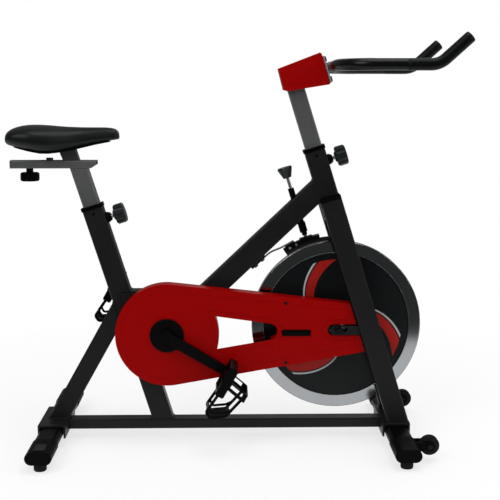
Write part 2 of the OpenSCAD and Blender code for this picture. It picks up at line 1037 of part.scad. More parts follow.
module crank_arm(y0, y1, turn) {
  difference() {
    translate([crank_x, y1, crank_z])
      rotate([90, 0, 0])
        linear_extrude(y1 - y0)
          rotate([0, 0, turn])
            crank_plan();
    ycyl(crank_x, crank_z, spindle_r, y0 - 1, y1 + 1);
    ycyl(crank_x + crank_len * cos(turn), crank_z + crank_len * sin(turn), 6, y0 - 1, y1 + 1);
  }
}

module crank_right() {
  color("#131313") {
    crank_arm(-arm_out, -arm_in, -crank_drop);
    ring(crank_x, crank_z, 38, spindle_r, -disc_y - 4, -disc_y);
    ring(crank_x, crank_z, 34, spindle_r, -disc_y - 5, -disc_y - 3);
    ring(crank_x, crank_z, 17, spindle_r, -arm_in - 1, -belt_out - 1);
  }
}

module crank_left() {
  color("#131313") {
    crank_arm(arm_in, arm_out, 180 - crank_drop);
    ring(crank_x, crank_z, 17, spindle_r, shell_half + run, arm_in + 1);
  }
}

// pedals, turned as they hang: local x to the toe end, local z to the top

module pedal_at(side) {
  translate([crank_x - side * (pedal_x - crank_x), 0, crank_z - side * (pedal_z - crank_z)])
    rotate([0, pedal_turn, 0])
      children();
}

function span(side, a, b) = side < 0 ? -b : a;
function span_to(side, a, b) = side < 0 ? -a : b;

module pedal_spindles() {
  color("#8a8d90")
    for (side = [-1, 1]) {
      pedal_at(side) {
        ycyl(0, 0, 6, span(side, arm_in, pedal_out - 7), span_to(side, arm_in, pedal_out - 7));
        ycyl(0, 0, 9, span(side, arm_out, pedal_in - run), span_to(side, arm_out, pedal_in - run));
      }
    }
}

module pedal_body(side) {
  y0 = span(side, pedal_in, pedal_out);
  pedal_at(side)
    difference() {
      union() {
        ycyl(0, 0, pedal_h / 2, y0, y0 + pedal_w);
        for (y = [y0, y0 + pedal_w - 8]) {
          translate([0, y + 8, 0])
            rotate([90, 0, 0])
              linear_extrude(8)
                rrect(pedal_len, pedal_h - 4, 5);
        }
        for (x = [-pedal_len / 2 + 5, pedal_len / 2 - 5]) {
          translate([x, y0 + pedal_w, 0])
            rotate([90, 0, 0])
              linear_extrude(pedal_w)
                rrect(10, pedal_h - 6, 3);
        }
        for (y = [y0 + pedal_w / 3 - 3, y0 + 2 * pedal_w / 3 - 3]) {
          translate([-pedal_len / 2 + 2, y, -6])
            cube([pedal_len - 4, 6, 12]);
        }
      }
      ycyl(0, 0, 6.05, span(side, pedal_in - 1, pedal_out - 6), span_to(side, pedal_in - 1, pedal_out - 6));
    }
}

module pedal_right() {
  color("#121212")
    pedal_body(-1);
}

module pedal_left() {
  color("#121212")
    pedal_body(1);
}

// toe cage: two bent side strips joined over the toe, and the strap that closes it
module toe_cage(side) {
  ym = span(side, pedal_mid, pedal_mid);
  f = pedal_len / 2;
  pedal_at(side) {
    for (y = [ym - 34, ym + 30]) {
      yplate(y, y + 4)
        polygon([
          [f, -7], [f + 52, -10], [f + 61, 8], [f + 38, 43], [9, 57], [9, 50], [f + 33, 36],
          [f + 52, 9], [f + 47, -2], [f, 4]
        ]);
    }
    yplate(ym - 34, ym + 34)
      polygon([[f + 52, -10], [f + 61, 8], [f + 38, 43], [f + 34, 39], [f + 55, 9], [f + 47, -6]]);
    yplate(ym - pedal_w / 2 - 2, ym + pedal_w / 2 + 2)
      polygon([[2, 57], [22, 57], [22, 59], [2, 59]]);
    for (y = [ym - pedal_w / 2 - 2, ym + pedal_w / 2]) {
      yplate(y, y + 2)
        polygon([[2, 59], [22, 59], [13, 10.5], [-7, 10.5]]);
    }
  }
}

module cage_right() {
  color("#121212")
    toe_cage(-1);
}

module cage_left() {
  color("#121212")
    toe_cage(1);
}

// saddle post with its rail welded across the top

// slanting cut that takes the lower corner off the front of the saddle rail
module rail_nose_cut() {
  yplate(-rail_w, rail_w)
    translate([rail_front, rail_z])
      polygon([
        [-1.2 * rail_nose[0], -0.2 * rail_nose[1]], [0.2 * rail_nose[0], -0.2 * rail_nose[1]],
        [0.2 * rail_nose[0], 1.2 * rail_nose[1]]
      ]);
}

// bore of the saddle rail from x, l long
module rail_bore(x, l) {
  translate([x, 0, rail_z + slide_h / 2])
    rotate([0, 90, 0])
      linear_extrude(l)
        rrect(slide_h - 2 * rail_t, rail_w - 2 * rail_t, 0.4);
}

module post_holes(s, lo, hi, pitch) {
  for (k = [lo:hi]) {
    translate([post_d / 2 - 6, 0, s - pin_s + k * pitch])
      rotate([0, 90, 0])
        cylinder(r = 5.2, h = 12);
  }
}

module seat_post() {
  color("#5c5f61") {
    difference() {
      seat_frame()
        difference() {
          translate([0, 0, seat_s - 228])
            linear_extrude(460)
              difference() {
                rrect(post_d, post_w, 3.5);
                rrect(post_d - 4, post_w - 4, 2);
              }
          post_holes(seat_s, -5, 3, 25);
        }
      translate([-far, -far, rail_z])
        cube([2 * far, 2 * far, 400]);
    }
    difference() {
      translate([rail_rear, 0, rail_z + slide_h / 2])
        rotate([0, 90, 0])
          linear_extrude(rail_front - rail_rear)
            rrect(slide_h, rail_w, 2.5);
      rail_bore(rail_rear - 1, rail_front - rail_rear + 2);
      rail_nose_cut();
      translate([stub_front - slot_back, -slot_half, rail_z + slide_h - 4])
        cube([slot_l, 2 * slot_half, 10]);
      translate([clamp_x, 0, rail_z - 1])
        cylinder(r = 5.1, h = 4);
    }
  }
}

module rail_plug() {
  color("#101010")
    difference() {
      rail_bore(rail_front - plug_l, plug_l);
      rail_nose_cut();
    }
}

// saddle sections from nose to tail: place along the length, top, underside, half width
saddle_cut = [
  [0, 77, 73, 0.05], [0.01, 82, 71, 0.17], [0.032, 89, 70.5, 0.25], [0.062, 95.5, 69.5, 0.30],
  [0.092, 99, 68.5, 0.325], [0.144, 101, 66, 0.35], [0.219, 100.5, 62, 0.385],
  [0.297, 100, 57, 0.43], [0.376, 100, 52, 0.52], [0.454, 100.5, 48, 0.64],
  [0.533, 102, 44.5, 0.77], [0.607, 104.5, 42.5, 0.88], [0.682, 106.3, 43, 0.96],
  [0.757, 107.3, 47, 1], [0.813, 107, 50.5, 1], [0.869, 103, 54.5, 0.965], [0.914, 97, 58, 0.88],
  [0.951, 90, 62, 0.75], [0.981, 82, 66, 0.55], [1, 75, 70, 0.29]
];
saddle_n = len(saddle_cut);
ring_n = 24;
function cut_x(k) = saddle_rear + saddle_len * (1 - saddle_cut[k][0]);
function cut_top(k) = rail_z + saddle_cut[k][1];
function cut_low(k) = rail_z + saddle_cut[k][2];
function cut_half(k) = saddle_cut[k][3] * saddle_w / 2;
function cut_mid(k) = cut_low(k) + 0.42 * (cut_top(k) - cut_low(k));
function sgn_pow(v, e) = v < 0 ? -pow(-v, e) : pow(v, e);

// crowned above the widest line, drawn in below it and flat underneath
function saddle_pt(k, j) =
  let (a = 360 * j / ring_n, c = cos(a), s = sin(a))
  s >= 0
    ? [cut_x(k), cut_half(k) * sgn_pow(c, 0.85), cut_mid(k) + (cut_top(k) - cut_mid(k)) * pow(s, 0.8)]
    : [cut_x(k), cut_half(k) * sgn_pow(c, 0.55) * (1 + 0.14 * s),
       cut_mid(k) - (cut_mid(k) - cut_low(k)) * pow(min(1, -s / 0.7), 0.8)];

module saddle() {
  color("#161616")
    polyhedron(
      points = [for (k = [0:saddle_n - 1], j = [0:ring_n - 1]) saddle_pt(k, j)],
      faces = concat(
        [for (k = [0:saddle_n - 2], j = [0:ring_n - 1])
          [k * ring_n + j, k * ring_n + (j + 1) % ring_n, (k + 1) * ring_n + (j + 1) % ring_n]],
        [for (k = [0:saddle_n - 2], j = [0:ring_n - 1])
          [k * ring_n + j, (k + 1) * ring_n + (j + 1) % ring_n, (k + 1) * ring_n + j]],
        [[for (j = [ring_n - 1:-1:0]) j]],
        [[for (j = [0:ring_n - 1]) (saddle_n - 1) * ring_n + j]]
      )
    );
}

base_from = 4;
base_to = 16;

// moulded pan under the padding, following the underside of the saddle
module saddle_base() {
  color("#1a1a1a")
    intersection() {
      yplate(-saddle_w, saddle_w)
        polygon(concat(
          [for (k = [base_from:base_to]) [cut_x(k), cut_low(k)]],
          [for (k = [base_to:-1:base_from]) [cut_x(k), cut_low(k) - base_t]]
        ));
      linear_extrude(2000)
        polygon(concat(
          [for (k = [base_from:base_to]) [cut_x(k), -0.72 * cut_half(k)]],
          [for (k = [base_to:-1:base_from]) [cut_x(k), 0.72 * cut_half(k)]]
        ));
    }
}

function under(x) =
  [for (k = [base_from:base_to - 1])
    if (x <= cut_x(k) && x > cut_x(k + 1))
      cut_low(k) + (cut_low(k + 1) - cut_low(k)) * (cut_x(k) - x) / (cut_x(k) - cut_x(k + 1))][0]
  - base_t;

module saddle_slider() {
  lo = rail_z + rail_t + slide_clear;
  hi = rail_z + slide_h - rail_t - slide_clear;
  top = rail_z + slide_h + run;
  sf = stub_front;
  sr = stub_front - 39;
  color("#151515") {
    translate([sf - slide_back, -rail_w / 2 + rail_t + slide_clear, lo])
      cube([slide_l, rail_w - 2 * rail_t - 2 * slide_clear, hi - lo]);
    translate([sr, -slot_half + slide_clear, hi - 1])
      cube([39, 2 * slot_half - 2 * slide_clear, top - hi + 2]);
    yplate(-12, 12)
      polygon(concat(
        [[sr, top], [sf, top], [sf - 8, under(sf - 8)]],
        [for (k = [base_from:base_to])
          if (cut_x(k) < sf - 8 && cut_x(k) > sr - 8) [cut_x(k), cut_low(k) - base_t]],
        [[sr - 8, under(sr - 8)]]
      ));
    translate([sf - 72.5, 0, hi - 1])
      cylinder(r = 5, h = top - hi + 2);
    translate([sf - 72.5, 0, top])
      cylinder(r = 8.5, h = 5.5);
  }
}

// lobed hand knob standing on its narrow end
module lobed_knob(r, h) {
  difference() {
    union() {
      cylinder(r1 = r - 3, r2 = r, h = 3);
      translate([0, 0, 3])
        cylinder(r = r, h = h - 6);
      translate([0, 0, h - 3])
        cylinder(r1 = r, r2 = r - 3, h = 3);
    }
    for (a = [0:60:300]) {
      rotate([0, 0, a])
        translate([r + 6, 0, -1])
          cylinder(r = 9.5, h = h + 2);
    }
  }
}

module rail_knob() {
  color("#121212") {
    translate([clamp_x, 0, rail_z - 31])
      lobed_knob(23, 21);
    translate([clamp_x, 0, rail_z - 10.5])
      cylinder(r = 8.5, h = 10.5 - run);
    translate([clamp_x, 0, rail_z - 2])
      cylinder(r = 5, h = 2 + rail_t + slide_clear - run);
  }
}

pin_tip = post_d / 2 + bush_gap + run;
knob_lx = tube_d / 2 + 18;
pin_r = 5;
pin_fit = 0.05;

module pin_rod(s) {
  translate([pin_tip, 0, s - pin_s])
    rotate([0, 90, 0])
      cylinder(r = pin_r, h = knob_lx + 14 - pin_tip);
}

module pin_knob(s) {
  translate([knob_lx, 0, s - pin_s])
    rotate([0, 90, 0])
      difference() {
        union() {
          cylinder(r1 = 11, r2 = 15, h = 5);
          translate([0, 0, 4])
            lobed_knob(25, 25);
        }
        translate([0, 0, -1])
          cylinder(r = pin_r + pin_fit, h = 15);
      }
}

module seat_pin() {
  color("#8a8d90")
    seat_frame()
      pin_rod(seat_s);
}

module seat_knob() {
  color("#121212")
    seat_frame()
      pin_knob(seat_s);
}

module head_pin() {
  color("#8a8d90")
    head_frame()
      pin_rod(head_s);
}

module head_knob() {
  color("#121212")
    head_frame()
      pin_knob(head_s);
}

// handlebar post with the stem head welded on top

module stem_bolts(r, a, b) {
  for (i = [-1, 1], j = [-1, 1]) {
    translate([a, 16 * j, stem_mid + 24.5 * i])
      rotate([0, 90, 0])
        cylinder(r = r, h = b - a);
  }
}

module bar_post() {
  color("#5c5f61")
    head_frame() {
      difference() {
        translate([0, 0, head_s - 122])
          linear_extrude(stem_s0 - head_s + 122)
            difference() {
              rrect(post_d, post_w, 3.5);
              rrect(post_d - 4, post_w - 4, 2);
            }
        post_holes(head_s, -3, 5, 20);
      }
      difference() {
        translate([-post_d / 2, -20, stem_s0])
          cube([post_d / 2 + stem_front - 6, 40, 38]);
        translate([-post_d / 2 + 3, -17, stem_s0 + 3])
          cube([post_d / 2 + stem_front - 12, 34, 32]);
      }
      difference() {
        translate([stem_front - 6, -24, stem_mid - 33])
          cube([6, 48, 66]);
        stem_bolts(4, stem_front - 7, stem_front + 1);
      }
    }
}

module stem_cover() {
  b = stem_s0;
  f = stem_front;
  color("#870606")
    head_frame()
      difference() {
        yplate(-28, 28)
          polygon([
            [-post_d / 2 - 6.5, b + 50], [f - 4, b + 56.5], [f - 1, b + 53.5], [f, b + 43],
            [f - 2, b - 22.5], [-post_d / 2, b - 8], [-post_d / 2 - 9, b - 2]
          ]);
        translate([-post_d / 2 - 0.1, -20, b])
          cube([post_d / 2 + f - 5.9, 40, 38.1]);
        translate([f - 6, -24, stem_mid - 33])
          cube([20, 48, 66]);
        translate([0, 0, b - 60])
          linear_extrude(60.1)
            rrect(post_d, post_w, 3.5);
      }
}

// bent tube, radius r: cross part, two corners, two straights and two upturned horns
module bar_form(r, tip) {
  for (side = [-1, 1]) {
    translate([bar_x + corner_r, side * (bar_half - corner_r), bar_z])
      rotate([0, 0, side < 0 ? 180 : 90])
        rotate_extrude(angle = 90)
          translate([corner_r, 0])
            circle(r - bend_slim);
    translate([bar_x + corner_r, side * bar_half, bar_z])
      rotate([0, 90, 0])
        cylinder(r = r, h = bend_x - bar_x - corner_r);
    bar_horn(r, side, tip);
  }
  ycyl(bar_x, bar_z, r, -bar_half + corner_r, bar_half - corner_r);
}

module bar_horn(r, side, tip) {
  translate([bend_x, side * bar_half, bar_z + bend_r])
    rotate([90, 0, 0])
      rotate([0, 0, -90])
        rotate_extrude(angle = horn_a)
          translate([bend_r, 0])
            circle(r - bend_slim);
  translate([bend_x + bend_r * sin(horn_a), side * bar_half, bar_z + bend_r * (1 - cos(horn_a))])
    rotate([0, 90 - horn_a, 0])
      cylinder(r = r, h = horn_l + tip);
}

module handlebar() {
  color("#131415") {
    difference() {
      union() {
        bar_form(bar_d / 2, 0);
        head_frame()
          translate([stem_front + plate_t - eps, -neck_w / 2, bar_s - neck_h / 2])
            cube([neck_l + bar_d / 2, neck_w, neck_h]);
      }
      bar_form(bar_d / 2 - bar_wall, 1);
    }
    head_frame()
      difference() {
        translate([stem_front, -26, stem_mid - 33])
          cube([plate_t, 52, 66]);
        stem_bolts(4, stem_front - 1, stem_front + plate_t + 1);
      }
  }
}

module bar_bolts() {
  color("#2c2e30")
    head_frame() {
      stem_bolts(4, stem_front - 6, stem_front + plate_t + 0.5);
      stem_bolts(6.5, stem_front + plate_t, stem_front + plate_t + 3.5);
    }
}

module bar_grips() {
  color("#181818")
    difference() {
      for (side = [-1, 1]) {
        union() {
          translate([grip_x, side * bar_half, bar_z])
            rotate([0, 90, 0])
              cylinder(r = grip_d / 2, h = bend_x - grip_x);
          bar_horn(grip_d / 2, side, 3);
        }
      }
      bar_form(bar_d / 2, 0);
    }
}

// brake

module sector(r, a0, a1) {
  polygon([
    [0, 0], [2 * r * cos(a0), 2 * r * sin(a0)],
    [2 * r * cos((a0 + a1) / 2), 2 * r * sin((a0 + a1) / 2)], [2 * r * cos(a1), 2 * r * sin(a1)]
  ]);
}

// band round the flywheel between two radii and two angles
module rim_band(r0, r1, a0, a1, half) {
  yplate(-half, half)
    translate([wheel_x, wheel_z])
      intersection() {
        difference() {
          circle(r1);
          circle(r0);
        }
        sector(r1, a0, a1);
      }
}

module brake_rod() {
  color("#8a8d90")
    brake_axis()
      translate([0, 0, holder_top_s])
        cylinder(r = rod_r, h = knob_s + 12 - holder_top_s);
}

module brake_knob() {
  color("#121212")
    brake_axis()
      translate([0, 0, knob_s])
        difference() {
          union() {
            cylinder(r1 = 10, r2 = 18.5, h = 23);
            translate([0, 0, 23])
              cylinder(r1 = 18.5, r2 = 16.5, h = 4);
          }
          translate([0, 0, -1])
            cylinder(r = rod_r, h = 13);
        }
}

module brake_holder() {
  r0 = wheel_r + pad_gap + pad_t;
  color("#1c1d1e") {
    rim_band(r0, r0 + holder_t, 101, 125, 11);
    yplate(-10.5, 10.5)
      polygon([
        wheel_pt(r0 + 2, 124), wheel_pt(leaf_seat, 123), wheel_pt(leaf_seat, 117), wheel_pt(r0 + 2, 116)
      ]);
    brake_axis()
      translate([-16, -10, holder_top_s - 8])
        cube([32, 20, 8]);
  }
}

module brake_pad() {
  r0 = wheel_r + pad_gap;
  color("#3a332c")
    rim_band(r0, r0 + pad_t, 94, 125, 10);
}

base_rail();
seat_tube();
rear_strut();
brace_tube();
down_tube();
bb_gussets();
bb_shell();
bb_bearings();
head_tube();
fork_right();
fork_left();
dropouts();
flywheel_axle();
brackets();
rear_stabilizer();
front_stabilizer();
end_caps();
rubber_feet();
frame_fasteners();
post_bushes();
pin_bosses();
brake_sleeve();
cover_outer();
cover_inner();
drive_belt();
leaf_spring();
wheel_right();
wheel_left();
flywheel();
flywheel_discs();
flywheel_bearings();
drive_pulley();
crank_spindle();
big_pulley();
crank_right();
crank_left();
pedal_spindles();
pedal_right();
pedal_left();
cage_right();
cage_left();
seat_post();
rail_plug();
saddle_slider();
saddle_base();
saddle();
rail_knob();
seat_pin();
seat_knob();
head_pin();
head_knob();
bar_post();
stem_cover();
handlebar();
bar_bolts();
bar_grips();
brake_rod();
brake_knob();
brake_holder();
brake_pad();
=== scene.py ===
"""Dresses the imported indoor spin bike: finishes, soft pieces, small fittings, light and camera."""

import logging
import math
from dataclasses import dataclass
from enum import Enum
from typing import Callable, Sequence

import bpy
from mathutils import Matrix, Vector


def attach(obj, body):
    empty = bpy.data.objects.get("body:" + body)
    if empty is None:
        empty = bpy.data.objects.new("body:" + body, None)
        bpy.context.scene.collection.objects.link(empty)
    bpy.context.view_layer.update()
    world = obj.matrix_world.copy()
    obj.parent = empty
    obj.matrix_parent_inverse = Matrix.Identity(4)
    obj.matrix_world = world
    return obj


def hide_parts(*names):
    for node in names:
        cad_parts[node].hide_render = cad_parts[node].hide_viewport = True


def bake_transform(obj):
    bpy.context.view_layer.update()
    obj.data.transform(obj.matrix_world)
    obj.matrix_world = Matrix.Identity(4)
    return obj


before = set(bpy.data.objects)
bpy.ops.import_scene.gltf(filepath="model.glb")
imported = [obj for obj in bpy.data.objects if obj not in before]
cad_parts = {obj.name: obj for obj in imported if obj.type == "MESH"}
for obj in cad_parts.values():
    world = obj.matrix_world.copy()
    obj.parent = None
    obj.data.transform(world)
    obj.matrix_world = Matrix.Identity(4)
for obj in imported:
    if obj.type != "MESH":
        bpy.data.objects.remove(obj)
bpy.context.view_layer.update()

LOG = logging.getLogger("spin_bike")
MM = 0.001
WHITE = (1.0, 1.0, 1.0, 1.0)

# the frame's lean from upright, with the directions up its tubes, square to them and across the bike
LEAN = math.radians(17.35)
ALONG = Vector((-math.sin(LEAN), 0.0, math.cos(LEAN)))
AHEAD = Vector((math.cos(LEAN), 0.0, math.sin(LEAN)))
SIDE = Vector((0.0, 1.0, 0.0))

# axle of the flywheel in metres; axis of the crank, ahead and up, in millimetres
AXLE = (0.256, 0.0, 0.289)
CRANK_MM = (-161.5, 275.0)

# edges sharper than this stay sharp, on new pieces and on copies; points nearer than this merge
SHARP_DEG = 40.0
COPY_DEG = 35.0
MERGE_M = 0.00002

# relief: noise detail, stretch of turned and drawn noise, rim of a hide cell, wall of a foam cell, depth to grain
DETAIL = 3.0
FIBRE_DETAIL = 6.0
GRAIN_DETAIL = 2.0
TURNED_STRETCH = (1.0, 0.0, 1.0)
DRAWN_STRETCH = (0.02, 1.0, 1.0)
HIDE_RIM = (0.0, 0.12)
FOAM_WALL = (0.1, 0.5)
RELIEF_SHARE = 0.3

# soft clouds over a finish: how many to a metre, the part of their range that counts, their change of roughness
CLOUD_SCALE = 14.0
CLOUD_RANGE = (0.3, 0.7)
CLOUD_GLOSS = 0.12

NodeTree = bpy.types.NodeTree
Node = bpy.types.Node
Socket = bpy.types.NodeSocket
Obj = bpy.types.Object
Pair = tuple[float, float]
Triple = tuple[float, float, float]


def linear(hexa: str) -> tuple[float, float, float, float]:
    """Turns an sRGB hex colour into linear RGBA.

    Args:
        hexa: six hex digits.

    Returns:
        The colour as the shader sockets take it.
    """
    parts = (int(hexa[i:i + 2], 16) / 255.0 for i in (0, 2, 4))
    return (*(c / 12.92 if c <= 0.04045 else ((c + 0.055) / 1.055) ** 2.4 for c in parts), 1.0)


def add_node(tree: NodeTree, kind: str, links: dict[str | int, object] | None = None, out: str | int = 0,
             **settings: object) -> Socket:
    """Adds one shader node with its settings and links.

    Args:
        tree: the material's node tree.
        kind: the node's type name without ShaderNode.
        links: input name or index to a constant value or to an output socket.
        out: output name or index to go on with.
        settings: attributes of the node.

    Returns:
        That output of the new node.
    """
    made = tree.nodes.new(f"ShaderNode{kind}")
    for key, value in settings.items():
        setattr(made, key, value)
    for key, value in (links or {}).items():
        if isinstance(value, Socket):
            tree.links.new(value, made.inputs[key])
        else:
            made.inputs[key].default_value = value
    return made.outputs[out]


class Pattern(Enum):
    """Ways in which a surface was made, each with its own relief."""

    ORANGE_PEEL = "orange peel of baked powder"
    SPARK_GRAIN = "spark eroded mould grain"
    FLAKE = "metal flake under lacquer"
    TURNED = "turning rings round an axle"
    DRAWN = "drawing lines along a bar"
    FOAM = "open foam cells"
    HIDE = "pressed hide grain"
    FIBRE = "pressed felt fibre"
    SMOOTH = "polished mould"


@dataclass(frozen=True)
class Finish:
    """One real finish: its colours, gloss and relief, sized in millimetres."""

    name: str
    colour: str
    second: str
    roughness: float
    pattern: Pattern
    grain_mm: float
    bump: float
    metallic: float = 0.0
    sheen: float = 0.0
    specular: float = 0.5
    centre: Triple = (0.0, 0.0, 0.0)
    edge_mm: float = 0.8

    def make(self) -> bpy.types.Material:
        """Builds the node material the first time.

        Returns:
            The one material of this finish.
        """
        known = bpy.data.materials.get(self.name)
        if known:
            return known
        mat = bpy.data.materials.new(self.name)
        mat.use_nodes = True
        tree = mat.node_tree
        shader = tree.nodes["Principled BSDF"]
        shares = {"Metallic": self.metallic, "Sheen Weight": self.sheen, "Specular IOR Level": self.specular}
        for key, value in shares.items():
            shader.inputs[key].default_value = value
        place = add_node(tree, "TexCoord", out="Object")
        self.paint(tree, shader, place)
        mat.diffuse_color = linear(self.colour)
        return mat

    def relief(self, tree: NodeTree, place: Socket) -> Socket:
        """Gives the height of the surface relief, 0 to 1.

        Args:
            tree: the material's node tree.
            place: object coordinates in metres.

        Returns:
            The socket that carries the height.
        """
        scale = 1.0 / (self.grain_mm * MM)
        if self.pattern in (Pattern.TURNED, Pattern.DRAWN):
            moved = add_node(tree, "VectorMath", {0: place, 1: self.centre}, operation="SUBTRACT")
            stretch = TURNED_STRETCH if self.pattern is Pattern.TURNED else DRAWN_STRETCH
            flat = add_node(tree, "VectorMath", {0: moved, 1: stretch}, operation="MULTIPLY")
            if self.pattern is Pattern.TURNED:
                radius = add_node(tree, "VectorMath", {0: flat}, out="Value", operation="LENGTH")
                flat = add_node(tree, "CombineXYZ", {"X": radius})
            return add_node(tree, "TexNoise", {"Vector": flat, "Scale": scale, "Detail": DETAIL})
        if self.pattern in (Pattern.HIDE, Pattern.FOAM):
            hide = self.pattern is Pattern.HIDE
            cells = add_node(tree, "TexVoronoi", {"Vector": place, "Scale": scale},
                             feature="DISTANCE_TO_EDGE" if hide else "F1")
            low, high = HIDE_RIM if hide else FOAM_WALL
            return add_node(tree, "MapRange", {"Value": cells, "From Min": low, "From Max": high})
        detail = FIBRE_DETAIL if self.pattern is Pattern.FIBRE else GRAIN_DETAIL
        return add_node(tree, "TexNoise", {"Vector": place, "Scale": scale, "Detail": detail})

    def paint(self, tree: NodeTree, shader: Node, place: Socket) -> None:
        """Links colour, roughness and normal of the finish.

        Args:
            tree: the material's node tree.
            shader: its Principled BSDF.
            place: object coordinates in metres.
        """
        height = self.relief(tree, place)
        cloud = add_node(tree, "TexNoise", {"Vector": place, "Scale": CLOUD_SCALE, "Detail": DETAIL})
        share = add_node(tree, "Math", {0: height, 1: cloud}, operation="MULTIPLY")
        tone = add_node(tree, "Mix", {"Factor": share, 6: linear(self.colour), 7: linear(self.second)},
                        out=2, data_type="RGBA")
        gloss = add_node(tree, "MapRange", {
            "Value": cloud, "From Min": CLOUD_RANGE[0], "From Max": CLOUD_RANGE[1],
            "To Min": self.roughness * (1.0 - CLOUD_GLOSS),
            "To Max": min(1.0, self.roughness * (1.0 + CLOUD_GLOSS))})
        rounded = add_node(tree, "Bevel", {"Radius": self.edge_mm * MM}, samples=4)
        bumped = add_node(tree, "Bump", {
            "Strength": self.bump, "Distance": self.grain_mm * MM * RELIEF_SHARE, "Height": height, "Normal": rounded})
        for key, value in (("Base Color", tone), ("Roughness", gloss), ("Normal", bumped)):
            tree.links.new(value, shader.inputs[key])


@dataclass(frozen=True)
class DiscFilm(Finish):
    """Printed film on the flywheel faces: swept blades in two colours on black.

    A span is the middle and the half width of a colour, as shares of one blade's turn.
    """

    blade: str = "9a1712"
    blade_span: Pair = (0.52, 0.065)
    stripe: str = "a9abad"
    stripe_span: Pair = (0.615, 0.012)
    blades: int = 3
    sweep: float = 9.0
    inner_mm: float = 78.0
    outer_mm: float = 164.0

    def paint(self, tree: NodeTree, shader: Node, place: Socket) -> None:
        """Links the film's print over the plain finish.

        Args:
            tree: the material's node tree.
            shader: its Principled BSDF.
            place: object coordinates in metres.
        """
        super().paint(tree, shader, place)
        moved = add_node(tree, "VectorMath", {0: place, 1: self.centre}, operation="SUBTRACT")
        parts = add_node(tree, "SeparateXYZ", {0: moved}).node.outputs
        angle = add_node(tree, "Math", {0: parts[2], 1: parts[0]}, operation="ARCTAN2")
        flat = add_node(tree, "CombineXYZ", {"X": parts[0], "Z": parts[2]})
        radius = add_node(tree, "VectorMath", {0: flat}, out="Value", operation="LENGTH")
        swept = add_node(tree, "Math", {0: radius, 1: self.sweep, 2: angle}, operation="MULTIPLY_ADD")
        turn = add_node(tree, "Math", {0: swept, 1: self.blades / math.tau}, operation="MULTIPLY")
        share = add_node(tree, "Math", {0: turn}, operation="FRACT")
        above = add_node(tree, "Math", {0: radius, 1: self.inner_mm * MM}, operation="GREATER_THAN")
        below = add_node(tree, "Math", {0: radius, 1: self.outer_mm * MM}, operation="LESS_THAN")
        band = add_node(tree, "Math", {0: above, 1: below}, operation="MULTIPLY")
        tone = shader.inputs["Base Color"].links[0].from_socket
        for colour, (middle, half) in ((self.blade, self.blade_span), (self.stripe, self.stripe_span)):
            near = add_node(tree, "Math", {0: share, 1: middle, 2: half}, operation="COMPARE")
            mask = add_node(tree, "Math", {0: near, 1: band}, operation="MULTIPLY")
            tone = add_node(tree, "Mix", {"Factor": mask, 6: tone, 7: linear(colour)}, out=2, data_type="RGBA")
        tree.links.new(tone, shader.inputs["Base Color"])


# baked powder on steel tube: near black, a soft broad highlight and a faint orange peel
CHARCOAL_POWDER = Finish(
    "powder_coat_charcoal", "141415", "1b1b1c", 0.42, Pattern.ORANGE_PEEL, 1.1, 0.10, specular=0.16)
# the same powder in plain black, on stabilizers, cranks and the brake's holder
BLACK_POWDER = Finish("powder_coat_black", "040405", "080809", 0.40, Pattern.ORANGE_PEEL, 1.1, 0.10, specular=0.06)
# vinyl dipped on the bent bar: black and satin, with broad soft highlights
BAR_VINYL = Finish("vinyl_dipped_black", "080a0a", "0e1010", 0.26, Pattern.SMOOTH, 6.0, 0.02, specular=0.20)
# metallic lacquer on the sliding posts: mid grey that lifts where light grazes it
GREY_LACQUER = Finish("lacquer_metallic_grey", "5e605f", "737573", 0.38, Pattern.FLAKE, 0.8, 0.03, metallic=0.55)
# the same lacquer, darker, on the slider under the saddle
DARK_LACQUER = Finish("lacquer_metallic_dark", "38393a", "464748", 0.40, Pattern.FLAKE, 0.8, 0.03, metallic=0.4)
# plated rim: bright, with turning rings that streak the reflections
PLATED_STEEL = Finish(
    "steel_turned_plated", "a8abad", "8f9295", 0.10, Pattern.TURNED, 1.4, 0.02, metallic=1.0, centre=AXLE, edge_mm=1.8)
# bare drawn steel of pins, spindles and rods: grey, with fine lines along it
DRAWN_STEEL = Finish("steel_bright_drawn", "8e9194", "73767a", 0.32, Pattern.DRAWN, 0.7, 0.04, metallic=1.0)
# satin plate on the clamp and neck of the bar: pale, with blurred reflections
SATIN_PLATE = Finish("steel_satin_plated", "8f9295", "7c7f82", 0.58, Pattern.FLAKE, 0.8, 0.03, metallic=0.3)
# dark zinc on bolts, nuts and the flywheel's axle: near black, with a dull metal glint
ZINC_BLACK = Finish("steel_black_zinc", "1e1f21", "141517", 0.42, Pattern.FLAKE, 0.9, 0.05, metallic=0.9)
# anodised pulleys behind the cover: dark grey, with an even sheen
ANODISED = Finish("aluminium_black_anodised", "222426", "2c2e31", 0.38, Pattern.FLAKE, 0.9, 0.03, metallic=0.8)
# moulded ABS shells: deep red with a satin skin
RED_ABS = Finish("abs_moulded_red", "8e0000", "820000", 0.36, Pattern.SPARK_GRAIN, 0.9, 0.05, specular=0.05)
# moulded black polypropylene: fine eroded grain, dull
BLACK_PP = Finish(
    "polypropylene_moulded_black", "040405", "080809", 0.52, Pattern.SPARK_GRAIN, 0.9, 0.10, specular=0.05)
# acetal of the sliding bushes: the deepest black on the bike, waxy and dull
BUSH_ACETAL = Finish(
    "acetal_moulded_black", "020202", "050505", 0.48, Pattern.SPARK_GRAIN, 0.9, 0.06, specular=0.03)
# phenolic resin of the lobed knobs: cool dark grey with a soft gloss on each lobe
KNOB_PHENOLIC = Finish(
    "phenolic_moulded_grey", "14191a", "1c2122", 0.34, Pattern.SPARK_GRAIN, 0.9, 0.06, specular=0.25)
# moulded nylon of pedals, cages and the cover's plate: black, a little glossier
BLACK_NYLON = Finish("nylon_moulded_black", "030304", "070708", 0.42, Pattern.SPARK_GRAIN, 0.9, 0.08, specular=0.06)
